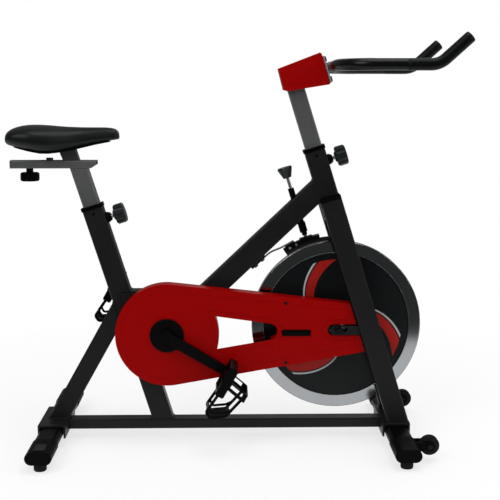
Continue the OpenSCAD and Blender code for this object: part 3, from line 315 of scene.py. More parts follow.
# rubber of feet, wheels and belt: dull dark grey, hardly a highlight
BLACK_RUBBER = Finish(
    "rubber_moulded_black", "121212", "1c1c1c", 0.72, Pattern.SPARK_GRAIN, 1.2, 0.12, specular=0.15)
# closed cell foam of the ribbed sleeves: black, with a satin skin
GRIP_FOAM = Finish("foam_sleeve_black", "070909", "0d0f0f", 0.36, Pattern.FOAM, 1.6, 0.04, specular=0.12)
# vinyl cover with a pressed hide grain; cells drawn at 2.2 mm so that they show
SADDLE_VINYL = Finish("vinyl_pressed_black", "0a0e0e", "111616", 0.40, Pattern.HIDE, 2.2, 0.08, specular=0.22)
# bare polyester label: an even dark grey
LABEL_FILM = Finish("polyester_label_grey", "191919", "1f1f1f", 0.45, Pattern.SMOOTH, 5.0, 0.02, specular=0.2)
# wool felt block: dark brown, with loose fibre and no shine
BRAKE_FELT = Finish("felt_pressed_dark", "12110f", "1e1b18", 0.95, Pattern.FIBRE, 0.8, 0.5, sheen=0.05, specular=0.1)

# printed polycarbonate film on the flywheel faces: satin black with swept blades
DISC_FILM = DiscFilm(
    "polycarbonate_printed_film", "0d1011", "131617", 0.28, Pattern.SMOOTH, 4.0, 0.02, centre=AXLE, specular=0.15)

DRESS: dict[Finish, tuple[str, ...]] = {
    CHARCOAL_POWDER: ("base_rail", "seat_tube", "rear_strut", "brace_tube", "down_tube", "bb_gussets", "bb_shell",
                      "head_tube", "fork_right", "fork_left", "dropouts", "brackets"),
    BLACK_POWDER: ("rear_stabilizer", "front_stabilizer", "crank_right", "crank_left", "crank_spindle", "brake_holder"),
    GREY_LACQUER: ("seat_post", "bar_post"),
    DARK_LACQUER: ("saddle_slider",),
    PLATED_STEEL: ("flywheel",),
    DRAWN_STEEL: ("bb_bearings", "flywheel_bearings", "pedal_spindles", "seat_pin", "head_pin", "brake_rod"),
    SATIN_PLATE: ("handlebar",),
    ZINC_BLACK: ("frame_fasteners", "bar_bolts", "flywheel_axle"),
    ANODISED: ("drive_pulley", "big_pulley"),
    RED_ABS: ("cover_outer", "stem_cover"),
    BLACK_PP: ("end_caps", "pin_bosses", "brake_sleeve", "cover_inner", "saddle_base", "rail_plug", "rail_knob"),
    BUSH_ACETAL: ("post_bushes",),
    KNOB_PHENOLIC: ("seat_knob", "head_knob", "brake_knob"),
    BLACK_NYLON: ("pedal_right", "pedal_left"),
    BLACK_RUBBER: ("rubber_feet", "drive_belt", "wheel_right", "wheel_left"),
    BRAKE_FELT: ("brake_pad",),
    DISC_FILM: ("flywheel_discs",),
}


def wear(obj: Obj, finish: Finish) -> None:
    """Puts a finish on an object in place of what it had.

    Args:
        obj: the object.
        finish: its finish.
    """
    obj.data.materials.clear()
    obj.data.materials.append(finish.make())


def dress_nodes() -> None:
    """Gives every carried-over CAD node its finish."""
    for finish, names in DRESS.items():
        for name in names:
            wear(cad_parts[name], finish)
            LOG.info("dressed %s in %s", name, finish.name)


def pick(*objs: Obj) -> None:
    """Goes to object mode with only some objects selected, the first one active.

    Args:
        objs: the objects, or none.
    """
    if bpy.context.object is not None and bpy.context.object.mode != "OBJECT":
        bpy.ops.object.mode_set(mode="OBJECT")
    bpy.ops.object.select_all(action="DESELECT")
    for obj in objs:
        obj.select_set(True)
    if objs:
        bpy.context.view_layer.objects.active = objs[0]


def edit_all() -> None:
    """Opens the active object in edit mode with everything selected."""
    bpy.ops.object.mode_set(mode="EDIT")
    bpy.ops.mesh.select_all(action="SELECT")


def extrude(move: Sequence[float], scale: Sequence[float] = (), **about: object) -> None:
    """Extrudes what is selected once and may change its width.

    Args:
        move: how far it goes, in metres.
        scale: change of width along each axis.
        about: center_override, where that is not about the middle.
    """
    bpy.ops.mesh.extrude_region_move(TRANSFORM_OT_translate={"value": move})
    if scale:
        bpy.ops.transform.resize(value=scale, **about)


def apply_modifier(obj: Obj, name: str, kind: str, **settings: object) -> None:
    """Adds one modifier to the active object and applies it.

    Args:
        obj: the active object.
        name: name of the modifier.
        kind: its type.
        settings: its attributes.
    """
    added = obj.modifiers.new(name, kind)
    for key, value in settings.items():
        setattr(added, key, value)
    bpy.ops.object.modifier_apply(modifier=added.name)


def add_primitive(name: str, operator: Callable[..., object], **settings: object) -> Obj:
    """Adds one primitive with nothing else selected.

    Args:
        name: name of the new object.
        operator: the bpy.ops.mesh primitive operator.
        settings: its size and place.

    Returns:
        The new object, active.
    """
    pick()
    operator(**settings)
    made = bpy.context.object
    made.name = made.data.name = name
    return made


def link_new(name: str, data: bpy.types.ID) -> Obj:
    """Makes an object of some data and links it to the scene.

    Args:
        name: name of the new object.
        data: its mesh, lamp or camera.

    Returns:
        The new object, at the origin.
    """
    made = bpy.data.objects.new(name, data)
    bpy.context.scene.collection.objects.link(made)
    return made


def settle(obj: Obj, angle_deg: float = SHARP_DEG) -> Obj:
    """Applies an object's place to its mesh, merges doubles and smooths its faces.

    Args:
        obj: the object to settle.
        angle_deg: edges sharper than this stay sharp.

    Returns:
        The same object, at the origin.
    """
    pick(obj)
    bpy.ops.object.transform_apply()
    if obj.data.has_custom_normals:
        bpy.ops.mesh.customdata_custom_splitnormals_clear()
    edit_all()
    bpy.ops.mesh.remove_doubles(threshold=MERGE_M)
    bpy.ops.mesh.normals_make_consistent(inside=False)
    bpy.ops.object.mode_set(mode="OBJECT")
    bpy.ops.object.shade_smooth_by_angle(angle=math.radians(angle_deg))
    return obj


def join(name: str, parts: Sequence[Obj]) -> Obj:
    """Joins settled parts into one piece.

    Args:
        name: name of the piece.
        parts: the objects to join.

    Returns:
        The joined object.
    """
    pick(*parts)
    bpy.ops.object.join()
    made = bpy.context.object
    made.name = made.data.name = name
    return made


def fit(obj: Obj, finish: Finish, body: str) -> Obj:
    """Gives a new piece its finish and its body.

    Args:
        obj: the piece.
        finish: its finish.
        body: the CAD body that carries it.

    Returns:
        The same piece.
    """
    wear(obj, finish)
    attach(obj, body)
    LOG.info("built %s on %s", obj.name, body)
    return obj


@dataclass
class SaddlePad:
    """Vinyl covered foam of the saddle, swelled from the form of its solid."""

    voxel_mm: float = 4.5
    inset_mm: float = 2.5
    crown_dip: float = -0.2
    under_dip: float = -0.35
    cap_mm: float = 4.0
    pressure: float = 4.0
    quality: int = 5
    frames: int = 20
    ease: float = 0.5
    ease_steps: int = 6
    end_mm: float = 80.0
    nose: float = 1.1
    tail: float = 1.2

    def build(self) -> None:
        pad = self.shell()
        self.swell(pad)
        self.finish(pad)
        fit(pad, SADDLE_VINYL, "saddle_set")
        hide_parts("saddle")

    def shell(self) -> Obj:
        """Copies the solid's skin, draws it in and remeshes it evenly.

        Returns:
            The pad before it swells.
        """
        pad = settle(link_new("saddle_pad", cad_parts["saddle"].data.copy()), COPY_DEG)
        crown = pad.vertex_groups.new(name="crown")
        crown.add([v.index for v in pad.data.vertices if v.normal.z > self.crown_dip], 1.0, "REPLACE")
        apply_modifier(pad, "draw_in", "DISPLACE", strength=-self.inset_mm * MM, mid_level=0.0, vertex_group=crown.name)
        apply_modifier(pad, "even_mesh", "REMESH", mode="VOXEL", voxel_size=self.voxel_mm * MM)
        return pad

    def swell(self, pad: Obj) -> None:
        """Blows the pad up with cloth, holding its underside to the pan.

        Args:
            pad: the even shell.
        """
        rest = [v.co.copy() for v in pad.data.vertices]
        held = pad.vertex_groups.new(name="underside")
        held.add([v.index for v in pad.data.vertices if v.normal.z < self.under_dip], 1.0, "REPLACE")
        cloth = pad.modifiers.new("foam", "CLOTH")
        foam = cloth.settings
        foam.use_pressure = True
        foam.uniform_pressure_force = self.pressure
        foam.effector_weights.gravity = 0.0
        foam.vertex_group_mass = held.name
        foam.quality = self.quality
        scene = bpy.context.scene
        for step in range(1, self.frames + 1):
            scene.frame_set(step)
        pick(pad)
        bpy.ops.object.modifier_apply(modifier=cloth.name)
        scene.frame_set(1)
        cap = self.cap_mm * MM
        for vertex, start in zip(pad.data.vertices, rest):
            moved = vertex.co - start
            if moved.length > cap:
                vertex.co = start + moved * (cap / moved.length)

    def finish(self, pad: Obj) -> None:
        """Smooths the skin, fills out its ends and adds one subdivision.

        Args:
            pad: the swelled pad.
        """
        pick(pad)
        apply_modifier(pad, "ease", "SMOOTH", factor=self.ease, iterations=self.ease_steps)
        self.blunt(pad)
        apply_modifier(pad, "fine", "SUBSURF", levels=1, render_levels=1)
        bpy.ops.object.shade_smooth()

    def blunt(self, pad: Obj) -> None:
        """Fills out the two ends of the pad, so that the foam stays thick up to the nose and the tail.

        Args:
            pad: the smoothed pad.
        """
        reach = self.end_mm * MM
        along = [v.co.x for v in pad.data.vertices]
        for end, sign, fullness in ((max(along), 1.0, self.nose), (min(along), -1.0, self.tail)):
            for vertex in pad.data.vertices:
                share = max(0.0, (end - vertex.co.x) * sign / reach)
                if share < 1.0:
                    power = 1.0 + fullness * (1.0 - share) ** 2
                    vertex.co.x = end - sign * reach * share ** power


@dataclass
class HandGrips:
    """Ribbed foam sleeves on the two horns of the bar; an end round is a length and a change of width."""

    radius_mm: float = 14.3
    start_mm: float = -52.0
    bend_x_mm: float = 444.5
    bar_z_mm: float = 921.5
    half_span_mm: float = 178.0
    bend_r_mm: float = 50.0
    bend_steps: int = 14
    horn_deg: float = 42.0
    horn_mm: float = 72.0
    runs: int = 8
    ribs: int = 40
    rib_mm: float = 0.45
    lip_mm: float = 1.2
    lip_run_mm: float = 1.4
    end_rounds: tuple[Pair, ...] = ((1.8, 0.94), (1.0, 0.82))
    sharp_deg: float = 50.0

    def build(self) -> list[Obj]:
        """Makes both sleeves.

        Returns:
            The two finished sleeves.
        """
        return [self.sleeve("grip_right", -1.0), self.sleeve("grip_left", 1.0)]

    def sleeve(self, name: str, side: float) -> Obj:
        """Draws one sleeve along the bar from a ring.

        Args:
            name: name of the piece.
            side: -1 for the right, 1 for the left.

        Returns:
            The finished sleeve.
        """
        y = side * self.half_span_mm * MM
        begin = Vector(((self.bend_x_mm + self.start_mm) * MM, y, self.bar_z_mm * MM))
        mouth_mm = self.radius_mm - self.lip_mm
        made = add_primitive(
            name, bpy.ops.mesh.primitive_circle_add, vertices=2 * self.ribs, radius=mouth_mm * MM, location=begin,
            rotation=(0.0, math.pi / 2, 0.0))
        bpy.ops.object.transform_apply()
        for vertex in made.data.vertices:
            vertex.select = vertex.index % 2 == 0
        bpy.ops.object.mode_set(mode="EDIT")
        valley = 1.0 - self.rib_mm / self.radius_mm
        bpy.ops.transform.resize(value=[valley] * 3, center_override=begin)
        bpy.ops.mesh.select_all(action="SELECT")
        bpy.ops.mesh.edge_face_add()
        ahead = Vector((1.0, 0.0, 0.0))
        extrude(ahead * self.lip_run_mm * MM, [self.radius_mm / mouth_mm] * 3, center_override=begin)
        for _ in range(self.runs):
            extrude(ahead * (-self.start_mm - self.lip_run_mm) * MM / self.runs)
        up = math.radians(self.horn_deg)
        centre = Vector((self.bend_x_mm * MM, y, (self.bar_z_mm + self.bend_r_mm) * MM))
        bpy.ops.mesh.spin(steps=self.bend_steps, angle=up, center=centre, axis=SIDE)
        ahead = Vector((math.cos(up), 0.0, math.sin(up)))
        for _ in range(self.runs):
            extrude(ahead * self.horn_mm * MM / self.runs)
        end = centre + Vector((math.sin(up), 0.0, -math.cos(up))) * self.bend_r_mm * MM + ahead * self.horn_mm * MM
        for run, scale in self.end_rounds:
            end += ahead * run * MM
            extrude(ahead * run * MM, [scale] * 3, center_override=end)
        return fit(settle(made, self.sharp_deg), GRIP_FOAM, "handlebar_post")


@dataclass
class BarSkin:
    """Dipped vinyl on the bar between its neck and the grips."""

    thick_mm: float = 1.4
    inner_y_mm: float = 30.0
    outer_x_mm: float = 391.5

    def build(self) -> None:
        """Makes the skin of both arms of the bar."""
        arms = [self.arm(side) for side in (-1.0, 1.0)]
        fit(join("bar_skin", arms), BAR_VINYL, "handlebar_post")

    def arm(self, side: float) -> Obj:
        """Cuts one arm out of the bar's form and thickens it.

        Args:
            side: -1 for the right, 1 for the left.

        Returns:
            The skin of the arm.
        """
        made = settle(link_new("bar_arm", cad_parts["handlebar"].data.copy()), COPY_DEG)
        for point, facing in (((0.0, side * self.inner_y_mm * MM, 0.0), (0.0, side, 0.0)),
                              ((self.outer_x_mm * MM, 0.0, 0.0), (-1.0, 0.0, 0.0))):
            edit_all()
            bpy.ops.mesh.bisect(plane_co=point, plane_no=facing, use_fill=True, clear_inner=True)
        bpy.ops.mesh.select_all(action="SELECT")
        bpy.ops.mesh.normals_make_consistent(inside=False)
        bpy.ops.transform.shrink_fatten(value=self.thick_mm * MM)
        return settle(made)


@dataclass(frozen=True)
class Seam:
    """One welded seam: a rounded rectangle in the plane of two directions, in millimetres."""

    centre: Triple
    along: Vector
    across: Vector
    half_a: float
    half_b: float
    corner: float = 4.0

    def point(self, share: float) -> Vector:
        """Walks the seam.

        Args:
            share: how far round, from 0 to 1.

        Returns:
            The point in metres.
        """
        a, b, c = self.half_a - self.corner, self.half_b - self.corner, self.corner
        arc = math.pi * c / 2.0
        left = (share % 1.0) * 4.0 * (a + b + arc)
        for quarter, hub in enumerate(((a, b), (-a, b), (-a, -b), (a, -b))):
            turn = quarter * math.pi / 2.0
            past = left - 2.0 * (a if quarter % 2 else b)
            bend = turn + max(0.0, past) / c
            flat = (Vector(hub) + Vector((math.cos(bend), math.sin(bend))) * c
                    + Vector((-math.sin(turn), math.cos(turn))) * min(0.0, past))
            left = past - arc
            if left <= 0.0:
                break
        return (Vector(self.centre) + self.along * flat.x + self.across * flat.y) * MM


@dataclass
class WeldBeads:
    """Painted weld beads where the frame's tubes meet.

    A level or leaning seam is its place ahead and up and half its length; it is as wide as the frame's tubes.
    """

    bead_mm: float = 1.9
    ripple_mm: float = 3.4
    ripple: float = 0.16
    ripple_steps: int = 4
    minor: int = 8
    sharp_deg: float = 60.0
    tube_half_mm: float = 20.0
    foot_half_mm: float = 25.0 / math.cos(LEAN)
    level_mm: tuple[Triple, ...] = ((-176.5, 50.5, foot_half_mm), (-436.5, 54.0, 25.2), (-52.5, 378.0, 37.8))
    leaning_mm: tuple[Triple, ...] = ((-246.4, 358.0, 20.9), (-286.9, 320.0, 30.2), (203.7, 620.9, 29.0))
    fork_mm: Triple = (407.0, 64.5, 54.0)
    fork_half_mm: float = 12.5
    crown_up_mm: float = 549.75
    crown_sides_mm: Pair = (20.0, 52.0)
    crown_half_mm: Pair = (22.0, 23.0)

    def seams(self) -> list[Seam]:
        """Lists the seams of the frame.

        Returns:
            Every seam with a flat joint.
        """
        level = Vector((1.0, 0.0, 0.0))
        found = [Seam((x, 0.0, z), along, SIDE, half, self.tube_half_mm)
                 for along, places in ((level, self.level_mm), (ALONG, self.leaning_mm)) for x, z, half in places]
        fork_x, fork_y, fork_z = self.fork_mm
        crown_x = fork_x - self.crown_up_mm * math.sin(LEAN)
        crown_z = fork_z + self.crown_up_mm * math.cos(LEAN)
        for side in (-1.0, 1.0):
            found.append(Seam((fork_x, side * fork_y, fork_z), level, SIDE, self.foot_half_mm, self.fork_half_mm))
            for y in self.crown_sides_mm:
                found.append(Seam((crown_x, side * y, crown_z), AHEAD, ALONG, *self.crown_half_mm))
        return found

    def bead(self, index: int, seam: Seam) -> Obj:
        """Bends a ring into one rippled bead.

        Args:
            index: number of the bead.
            seam: the seam that it follows.

        Returns:
            The bead.
        """
        length = 4.0 * (seam.half_a + seam.half_b)
        major = int(length / self.ripple_mm * self.ripple_steps)
        made = add_primitive(
            f"bead_{index}", bpy.ops.mesh.primitive_torus_add, major_segments=major, minor_segments=self.minor)
        normal = seam.along.cross(seam.across)
        for i, vertex in enumerate(made.data.vertices):
            step, ring = divmod(i, self.minor)
            here = seam.point(step / major)
            ahead = (seam.point((step + 0.5) / major) - seam.point((step - 0.5) / major)).normalized()
            outward = ahead.cross(normal)
            wave = 1.0 + self.ripple * math.sin(math.tau * step / self.ripple_steps)
            angle = math.tau * ring / self.minor
            vertex.co = here + (outward * math.cos(angle) + normal * math.sin(angle)) * self.bead_mm * MM * wave
        return settle(made, self.sharp_deg)

    def build(self) -> None:
        """Makes all beads as one piece of the frame."""
        beads = [self.bead(i, seam) for i, seam in enumerate(self.seams())]
        fit(join("weld_beads", beads), CHARCOAL_POWDER, "frame")


@dataclass
class SmallFittings:
    """Plain plate on the cover, bare label on a foot and rivets of the brake shoe.

    A round is a corner radius and the width of a softened rim; a rivet step is a rise and a change of width.
    """

    plate_centre: Triple = (154.0, -63.6, 280.5)
    plate_size: Triple = (70.0, 1.4, 15.0)
    plate_round: Pair = (3.0, 0.5)
    label_centre: Triple = (-445.0, -229.0, 51.6)
    label_size: Triple = (27.0, 44.0, 0.4)
    label_round: Pair = (2.0, 0.12)
    round_steps: int = 4
    lined_up: float = 0.9
    rivet_angles: tuple[float, ...] = (116.4, 121.0)
    rivet_ring_mm: float = 224.6
    rivet_mm: float = 3.4
    rivet_sides: int = 24
    rivet_steps: tuple[Pair, ...] = (
        (0.7, 1.0), (0.5, 0.90), (0.4, 0.80), (0.25, 0.72), (0.0, 0.72), (-0.35, 0.80))
    shoe_y_mm: float = 11.0

    def build(self) -> None:
        """Makes the plate, the label and the rivets."""
        plate = self.tablet("cover_plate", self.plate_centre, self.plate_size, self.plate_round)
        fit(plate, BLACK_NYLON, "frame")
        label = self.tablet("cap_label", self.label_centre, self.label_size, self.label_round)
        fit(label, LABEL_FILM, "frame")
        self.rivets()

    def tablet(self, name: str, centre: Triple, size: Triple, rounds: Pair) -> Obj:
        """Makes a thin bare plate with rounded corners and a softened rim.

        Args:
            name: name of the piece.
            centre: its middle in millimetres.
            size: its three sizes in millimetres.
            rounds: its corner radius and the width of its rim in millimetres.

        Returns:
            The settled plate.
        """
        made = add_primitive(name, bpy.ops.mesh.primitive_cube_add, size=1.0, location=[c * MM for c in centre])
        made.scale = [c * MM for c in size]
        bpy.ops.object.transform_apply()
        thin = size.index(min(size))
        for corners, width in zip((True, False), rounds):
            bpy.ops.object.mode_set(mode="EDIT")
            bpy.ops.mesh.select_all(action="DESELECT")
            bpy.ops.object.mode_set(mode="OBJECT")
            for edge in made.data.edges:
                a, b = (made.data.vertices[i].co for i in edge.vertices)
                edge.select = (abs((a - b).normalized()[thin]) > self.lined_up) is corners
            bpy.ops.object.mode_set(mode="EDIT")
            bpy.ops.mesh.bevel(offset=width * MM, segments=self.round_steps, affect="EDGES")
            bpy.ops.object.mode_set(mode="OBJECT")
        return settle(made)

    def rivets(self) -> None:
        """Makes the domed rivets on both faces of the brake shoe."""
        first = self.rivet()
        ring = self.rivet_ring_mm * MM
        made = []
        for angle in self.rivet_angles:
            for side in (-1.0, 1.0):
                turn = math.radians(angle)
                copy = link_new("rivet", first.data.copy())
                copy.location = (
                    AXLE[0] + ring * math.cos(turn), side * self.shoe_y_mm * MM, AXLE[2] + ring * math.sin(turn))
                copy.rotation_euler = (side * -math.pi / 2, 0.0, 0.0)
                made.append(settle(copy))
        bpy.data.objects.remove(first)
        fit(join("shoe_rivets", made), DRAWN_STEEL, "brake_set")

    def rivet(self) -> Obj:
        """Raises one rivet from a ring: a collar, a low dome and the dent of the riveting punch.

        Returns:
            The rivet, standing up at the origin.
        """
        made = add_primitive(
            "rivet", bpy.ops.mesh.primitive_circle_add, vertices=self.rivet_sides, radius=self.rivet_mm * MM)
        edit_all()
        bpy.ops.mesh.edge_face_add()
        for rise, width in self.rivet_steps:
            extrude((0.0, 0.0, rise * MM), (width, width, 1.0))
        return settle(made)


@dataclass
class StemPanels:
    """Shallow raised panels moulded on both sides of the stem cover."""

    corners_mm: tuple[Pair, ...] = ((134.6, 874.5), (218.2, 887.5), (134.6, 913.5), (203.6, 937.2))
    face_mm: float = 28.0
    sunk_mm: float = 0.1
    rise_mm: float = 0.5
    upright: float = 0.3
    slope_mm: float = 2.2
    span_mm: float = 30.0
    round_mm: float = 5.0
    round_steps: int = 5
    sharp_deg: float = 20.0

    def build(self) -> None:
        """Makes the panels of both sides."""
        panels = [self.panel(side) for side in (-1.0, 1.0)]
        fit(join("stem_panels", panels), RED_ABS, "handlebar_post")

    def panel(self, side: float) -> Obj:
        """Raises one panel from a sheet with rounded corners: a short upright rim, then a slope.

        Args:
            side: -1 for the right, 1 for the left.

        Returns:
            The panel of that side.
        """
        made = add_primitive("panel", bpy.ops.mesh.primitive_plane_add, size=1.0)
        for vertex, (x, z) in zip(made.data.vertices, self.corners_mm):
            vertex.co = Vector((x, side * (self.face_mm - self.sunk_mm), z)) * MM
        edit_all()
        bpy.ops.mesh.bevel(offset=self.round_mm * MM, segments=self.round_steps, affect="VERTICES")
        bpy.ops.mesh.select_all(action="SELECT")
        rim_mm = self.rise_mm * self.upright
        share = 1.0 - self.slope_mm / self.span_mm
        extrude((0.0, side * (self.sunk_mm + rim_mm) * MM, 0.0))
        extrude((0.0, side * (self.rise_mm - rim_mm) * MM, 0.0), (share, 1.0, share))
        return settle(made, self.sharp_deg)


@dataclass
class RimLip:
    """Polished ring on the plated rim round both face discs, a flat band as wide as its section."""

    ring_mm: float = 181.0
    face_mm: float = 11.6
    bead_mm: float = 1.2
    sides: int = 10
    steps: int = 168
    sharp_deg: float = 60.0

    def build(self) -> None:
        """Spins the ring on both faces of the flywheel."""
        rings = [self.ring(side) for side in (-1.0, 1.0)]
        fit(join("rim_lip", rings), PLATED_STEEL, "flywheel_set")

    def ring(self, side: float) -> Obj:
        """Turns a small section flat onto the face and spins it once round the axle.

        Args:
            side: -1 for the right, 1 for the left.

        Returns:
            The ring of that face.
        """
        place = (AXLE[0] + self.ring_mm * MM, side * self.face_mm * MM, AXLE[2])
        made = add_primitive(
            "lip", bpy.ops.mesh.primitive_circle_add, vertices=self.sides, radius=self.bead_mm * MM, location=place)
        bpy.ops.object.transform_apply()
        edit_all()
        for axis in ("X", "Y"):
            bpy.ops.transform.rotate(value=math.pi / 2, orient_axis=axis, center_override=place)
        bpy.ops.mesh.spin(steps=self.steps, angle=math.tau, center=AXLE, axis=SIDE)
        return settle(made, self.sharp_deg)


@dataclass
class ToeCages:
    """Toe cages bent from strip, each with its strap, in the places of the plain ones; sizes in millimetres.

    A path's corners are ahead and up of the pedal's axis; a web of the strap is its rear, front, foot and half width.
    """

    arm: float = 170.0
    drop_deg: float = 31.0
    turn_deg: float = 120.0
    middle: float = 135.0
    front: tuple[Pair, ...] = ((88.0, -6.0), (95.5, 8.3), (74.0, 39.5))
    toe: tuple[Pair, ...] = ((78.0, -5.1), *front, (64.0, 41.7))
    toe_half: float = 1.8
    toe_side: float = 33.4
    loop: tuple[Pair, ...] = ((36.0, -1.5), *front, (9.0, 54.0))
    loop_half: float = 3.4
    loop_sides: tuple[Pair, ...] = ((-34.0, -30.0), (30.0, 34.0))
    brace: tuple[Pair, ...] = ((74.0, -4.8), (84.0, 8.0), (65.5, 34.5), (52.0, 44.4))
    brace_half: float = 2.8
    brace_inset: float = 0.4
    bend: float = 8.0
    bend_steps: int = 6
    webs: tuple[tuple[float, float, float, float], ...] = (
        (2.0, 5.6, 10.5, 1.0), (13.5, 22.0, 10.5, 1.0), (5.0, 14.2, 46.0, 0.9))
    strap_out: float = 46.05
    strap_top: float = 58.0
    strap_bend: float = 5.0
    strap_lean: float = 9.0 / 48.5
    edge: float = 0.6
    edge_steps: int = 2

    def build(self) -> None:
        """Makes the cages of both pedals."""
        self.cage("right", -1.0)
        self.cage("left", 1.0)

    def cage(self, name: str, side: float) -> None:
        """Joins strips, toe and strap and sets them on their pedal.

        Args:
            name: which pedal it is on.
            side: -1 for the right, 1 for the left.
        """
        parts = [self.strip(self.toe, self.toe_half, -self.toe_side, self.toe_side, self.bend)]
        for low, high in self.loop_sides:
            inset = self.brace_inset
            parts.append(self.strip(self.loop, self.loop_half, low, high, self.bend))
            parts.append(self.strip(self.brace, self.brace_half, low + inset, high - inset, self.bend))
        for rear, front, foot, half in self.webs:
            out, top = self.strap_out, self.strap_top
            hoop = ((-out, foot), (-out, top), (out, top), (out, foot))
            parts.append(self.strip(hoop, half, rear, front, self.strap_bend))
            for vertex in parts[-1].data.vertices:
                lean = (vertex.co.z - top * MM) * self.strap_lean
                vertex.co = Vector((vertex.co.y + lean, vertex.co.x, vertex.co.z))
        made = join(f"toe_cage_{name}", parts)
        apply_modifier(
            made, "ease", "BEVEL", width=self.edge * MM, segments=self.edge_steps, limit_method="ANGLE",
            angle_limit=math.radians(SHARP_DEG))
        drop = math.radians(self.drop_deg)
        made.location = Vector((CRANK_MM[0] - side * self.arm * math.cos(drop), side * self.middle,
                                CRANK_MM[1] + side * self.arm * math.sin(drop))) * MM
        made.rotation_euler = (0.0, math.radians(self.turn_deg), 0.0)
        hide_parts(f"cage_{name}")
        fit(settle(made), BLACK_NYLON, f"{name}_pedal")

    def strip(self, points: Sequence[Pair], half: float, low: float, high: float, bend: float) -> Obj:
        """Draws a flat section along straight runs and rounded bends.

        Args:
            points: corners of the path, ahead and up.
            half: half the strip's width across the path.
            low: its lower end sideways.
            high: its upper end sideways.
            bend: radius of the bends.

        Returns:
            The settled strip.
        """
        path = [Vector((u, 0.0, w)) for u, w in points]
        made = add_primitive("strip", bpy.ops.mesh.primitive_plane_add, size=1.0)
        ahead = (path[1] - path[0]).normalized()
        across = Vector((-ahead.z, 0.0, ahead.x)) * half
        for vertex, (sign, y) in zip(made.data.vertices, ((1, low), (1, high), (-1, low), (-1, high))):
            vertex.co = (path[0] + across * sign + SIDE * y) * MM
        edit_all()
        spent = 0.0
        for before, here, after in zip(path, path[1:], path[2:]):
            into, away = (here - before).normalized(), (after - here).normalized()
            turn = math.atan2(into.x * away.z - into.z * away.x, into.dot(away))
            cut = bend * math.tan(abs(turn) / 2.0)
            extrude(into * ((here - before).length - spent - cut) * MM)
            inward = Vector((-into.z, 0.0, into.x)) * math.copysign(bend, turn)
            bpy.ops.mesh.spin(steps=self.bend_steps, angle=turn, center=(here - into * cut + inward) * MM, axis=SIDE)
            spent = cut
        last = path[-1] - path[-2]
        extrude(last.normalized() * (last.length - spent) * MM)
        return settle(made)


@dataclass
class CrankGuard:
    """Guard ring pressed round the disc of the right crank."""

    profile_mm: tuple[Pair, ...] = (
        (37.4, 64.4), (40.8, 64.4), (41.5, 65.2), (41.5, 66.6), (40.6, 67.5), (39.0, 67.8), (37.4, 67.4))
    steps: int = 96

    def build(self) -> None:
        """Spins the ring's section once round the crank axis."""
        made = add_primitive("crank_guard", bpy.ops.mesh.primitive_circle_add, vertices=len(self.profile_mm))
        x, z = CRANK_MM
        for vertex, (out, aside) in zip(made.data.vertices, self.profile_mm):
            vertex.co = Vector((x + out, -aside, z)) * MM
        edit_all()
        bpy.ops.mesh.spin(steps=self.steps, angle=math.tau, center=(x * MM, 0.0, z * MM), axis=SIDE)
        fit(settle(made), BLACK_POWDER, "crank_set")


@dataclass
class BrakeLeaf:
    """Leaf spring that bends between the down tube and the brake shoe."""

    root_mm: Triple = (80.9, 0.0, 459.0)
    seat_mm: Triple = (128.6, 0.0, 485.2)
    sharp_deg: float = 30.0

    def build(self) -> None:
        """Copies the leaf's form in place of the plain one, smooths its faces and dresses it in drawn steel."""
        leaf = settle(link_new("brake_leaf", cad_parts["leaf_spring"].data.copy()), self.sharp_deg)
        wear(leaf, DRAWN_STEEL)
        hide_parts("leaf_spring")
        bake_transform(leaf)


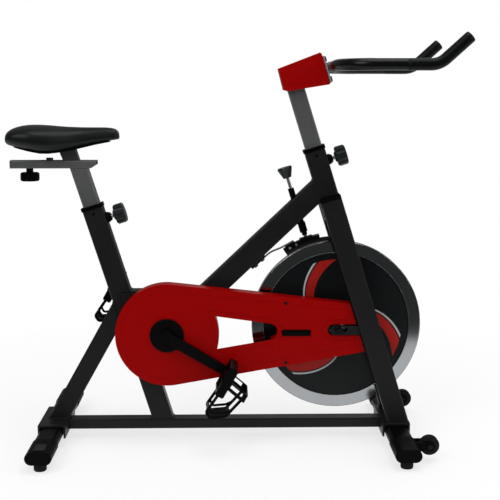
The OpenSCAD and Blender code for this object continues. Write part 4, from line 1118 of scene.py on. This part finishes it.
@dataclass
class Studio:
    """Floor, soft light and the camera of the picture; a softbox is its name, place, side and power."""

    focal_px: float = 1020.0
    frame_px: float = 500.0
    sensor_mm: float = 36.0
    stand: Triple = (-0.0065, -2.490, 0.849)
    pitch_deg: float = 8.53
    yaw_deg: float = 1.12
    sky: float = 0.50
    room: float = 0.05
    behind: float = 0.22
    room_to_behind: Pair = (-0.30, 0.45)
    paper: str = "f7f7f7"
    glow: float = 0.70
    glow_m: Pair = (0.5, 1.5)
    sheet_m: Pair = (7.0, 3.4)
    sheet_front_m: float = -1.05
    sheet_z_m: float = -0.0004
    aim: Triple = (0.0, 0.0, 0.45)
    softboxes: tuple[tuple[str, Triple, float, float], ...] = (
        ("key_softbox", (-1.7, -2.6, 2.6), 1.6, 42.0),
        ("top_softbox", (0.4, -0.4, 2.9), 1.8, 30.0),
        ("fill_softbox", (2.4, -1.6, 1.4), 1.4, 16.0),
        ("rim_softbox", (0.6, 2.6, 2.0), 1.6, 8.0),
    )

    def build(self) -> None:
        """Makes the stage, the lamps and the camera."""
        self.floor()
        self.world()
        for softbox in self.softboxes:
            self.lamp(*softbox)
        self.camera()

    def floor(self) -> None:
        """Lays a sheet of pale matt paper that keeps a faint shadow and looks white to camera and metal."""
        wide, deep = self.sheet_m
        middle = (0.0, self.sheet_front_m + deep / 2.0, self.sheet_z_m)
        plane = add_primitive("studio_floor", bpy.ops.mesh.primitive_plane_add, size=1.0, location=middle)
        plane.scale = (wide, deep, 1.0)
        bpy.ops.object.transform_apply()
        mat = bpy.data.materials.new("paper_white_matt")
        mat.use_nodes = True
        tree = mat.node_tree
        tree.nodes.remove(tree.nodes["Principled BSDF"])
        paper = add_node(tree, "BsdfDiffuse", {"Color": linear(self.paper)})
        glow = add_node(tree, "Emission", {"Color": WHITE, "Strength": 1.0})
        path = add_node(tree, "LightPath").node.outputs
        seen = path["Is Camera Ray"]
        for ray in ("Is Glossy Ray", "Is Transmission Ray"):
            seen = add_node(tree, "Math", {0: seen, 1: path[ray]}, operation="MAXIMUM")
        place = add_node(tree, "TexCoord", out="Object")
        away = add_node(tree, "VectorMath", {0: place}, out="Value", operation="LENGTH")
        near, far = self.glow_m
        glowing = add_node(tree, "MapRange", {
            "Value": away, "From Min": near, "From Max": far, "To Min": self.glow, "To Max": 1.0})
        share = add_node(tree, "Math", {0: seen, 1: glowing}, operation="MULTIPLY")
        mixed = add_node(tree, "MixShader", {0: share, 1: paper, 2: glow})
        tree.links.new(mixed, tree.nodes["Material Output"].inputs["Surface"])
        plane.data.materials.append(mat)

    def world(self) -> None:
        """Sets an even sky: white to the camera, pale behind the bike, a dim room on the camera's side."""
        world = bpy.data.worlds.new("studio_sky")
        bpy.context.scene.world = world
        world.use_nodes = True
        tree = world.node_tree
        sky = tree.nodes["Background"]
        sky.inputs["Color"].default_value = WHITE
        path = add_node(tree, "LightPath").node.outputs
        place = add_node(tree, "TexCoord", out="Generated")
        toward = add_node(tree, "SeparateXYZ", {0: place}, out="Y")
        near, far = self.room_to_behind
        metal = add_node(tree, "MapRange", {
            "Value": toward, "From Min": near, "From Max": far, "To Min": self.room, "To Max": self.behind})
        seen = add_node(tree, "Math", {0: path["Is Camera Ray"], 1: path["Is Transmission Ray"]}, operation="MAXIMUM")
        level = add_node(tree, "Mix", {"Factor": path["Is Glossy Ray"], 2: self.sky, 3: metal}, data_type="FLOAT")
        level = add_node(tree, "Mix", {"Factor": seen, 2: level, 3: 1.0}, data_type="FLOAT")
        tree.links.new(level, sky.inputs["Strength"])

    def lamp(self, name: str, place: Triple, size: float, watts: float) -> None:
        """Hangs one square softbox that faces the middle of the bike.

        Args:
            name: name of the lamp.
            place: its position in metres.
            size: side of the square in metres.
            watts: its power.
        """
        data = bpy.data.lights.new(name, "AREA")
        data.shape = "SQUARE"
        data.size = size
        data.energy = watts
        lamp = link_new(name, data)
        lamp.location = place
        lamp.rotation_euler = (Vector(self.aim) - Vector(place)).to_track_quat("-Z", "Y").to_euler()

    def camera(self) -> None:
        """Stands the camera where the picture was taken from."""
        data = bpy.data.cameras.new("picture_camera")
        data.sensor_width = self.sensor_mm
        data.lens = self.sensor_mm * self.focal_px / self.frame_px
        camera = link_new("picture_camera", data)
        camera.location = self.stand
        camera.rotation_euler = (math.radians(90.0 - self.pitch_deg), 0.0, -math.radians(self.yaw_deg))
        bpy.context.scene.camera = camera


def main() -> None:
    """Builds the dressed bike in order."""
    logging.basicConfig(level=logging.INFO, format="%(message)s")
    bpy.context.scene.view_settings.view_transform = "Standard"
    dress_nodes()
    SaddlePad().build()
    for grip in HandGrips().build():
        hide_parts("bar_grips")
    for group in (BarSkin, WeldBeads, SmallFittings, BrakeLeaf, RimLip, CrankGuard, ToeCages, StemPanels, Studio):
        group().build()


if __name__ == "__main__":
    main()
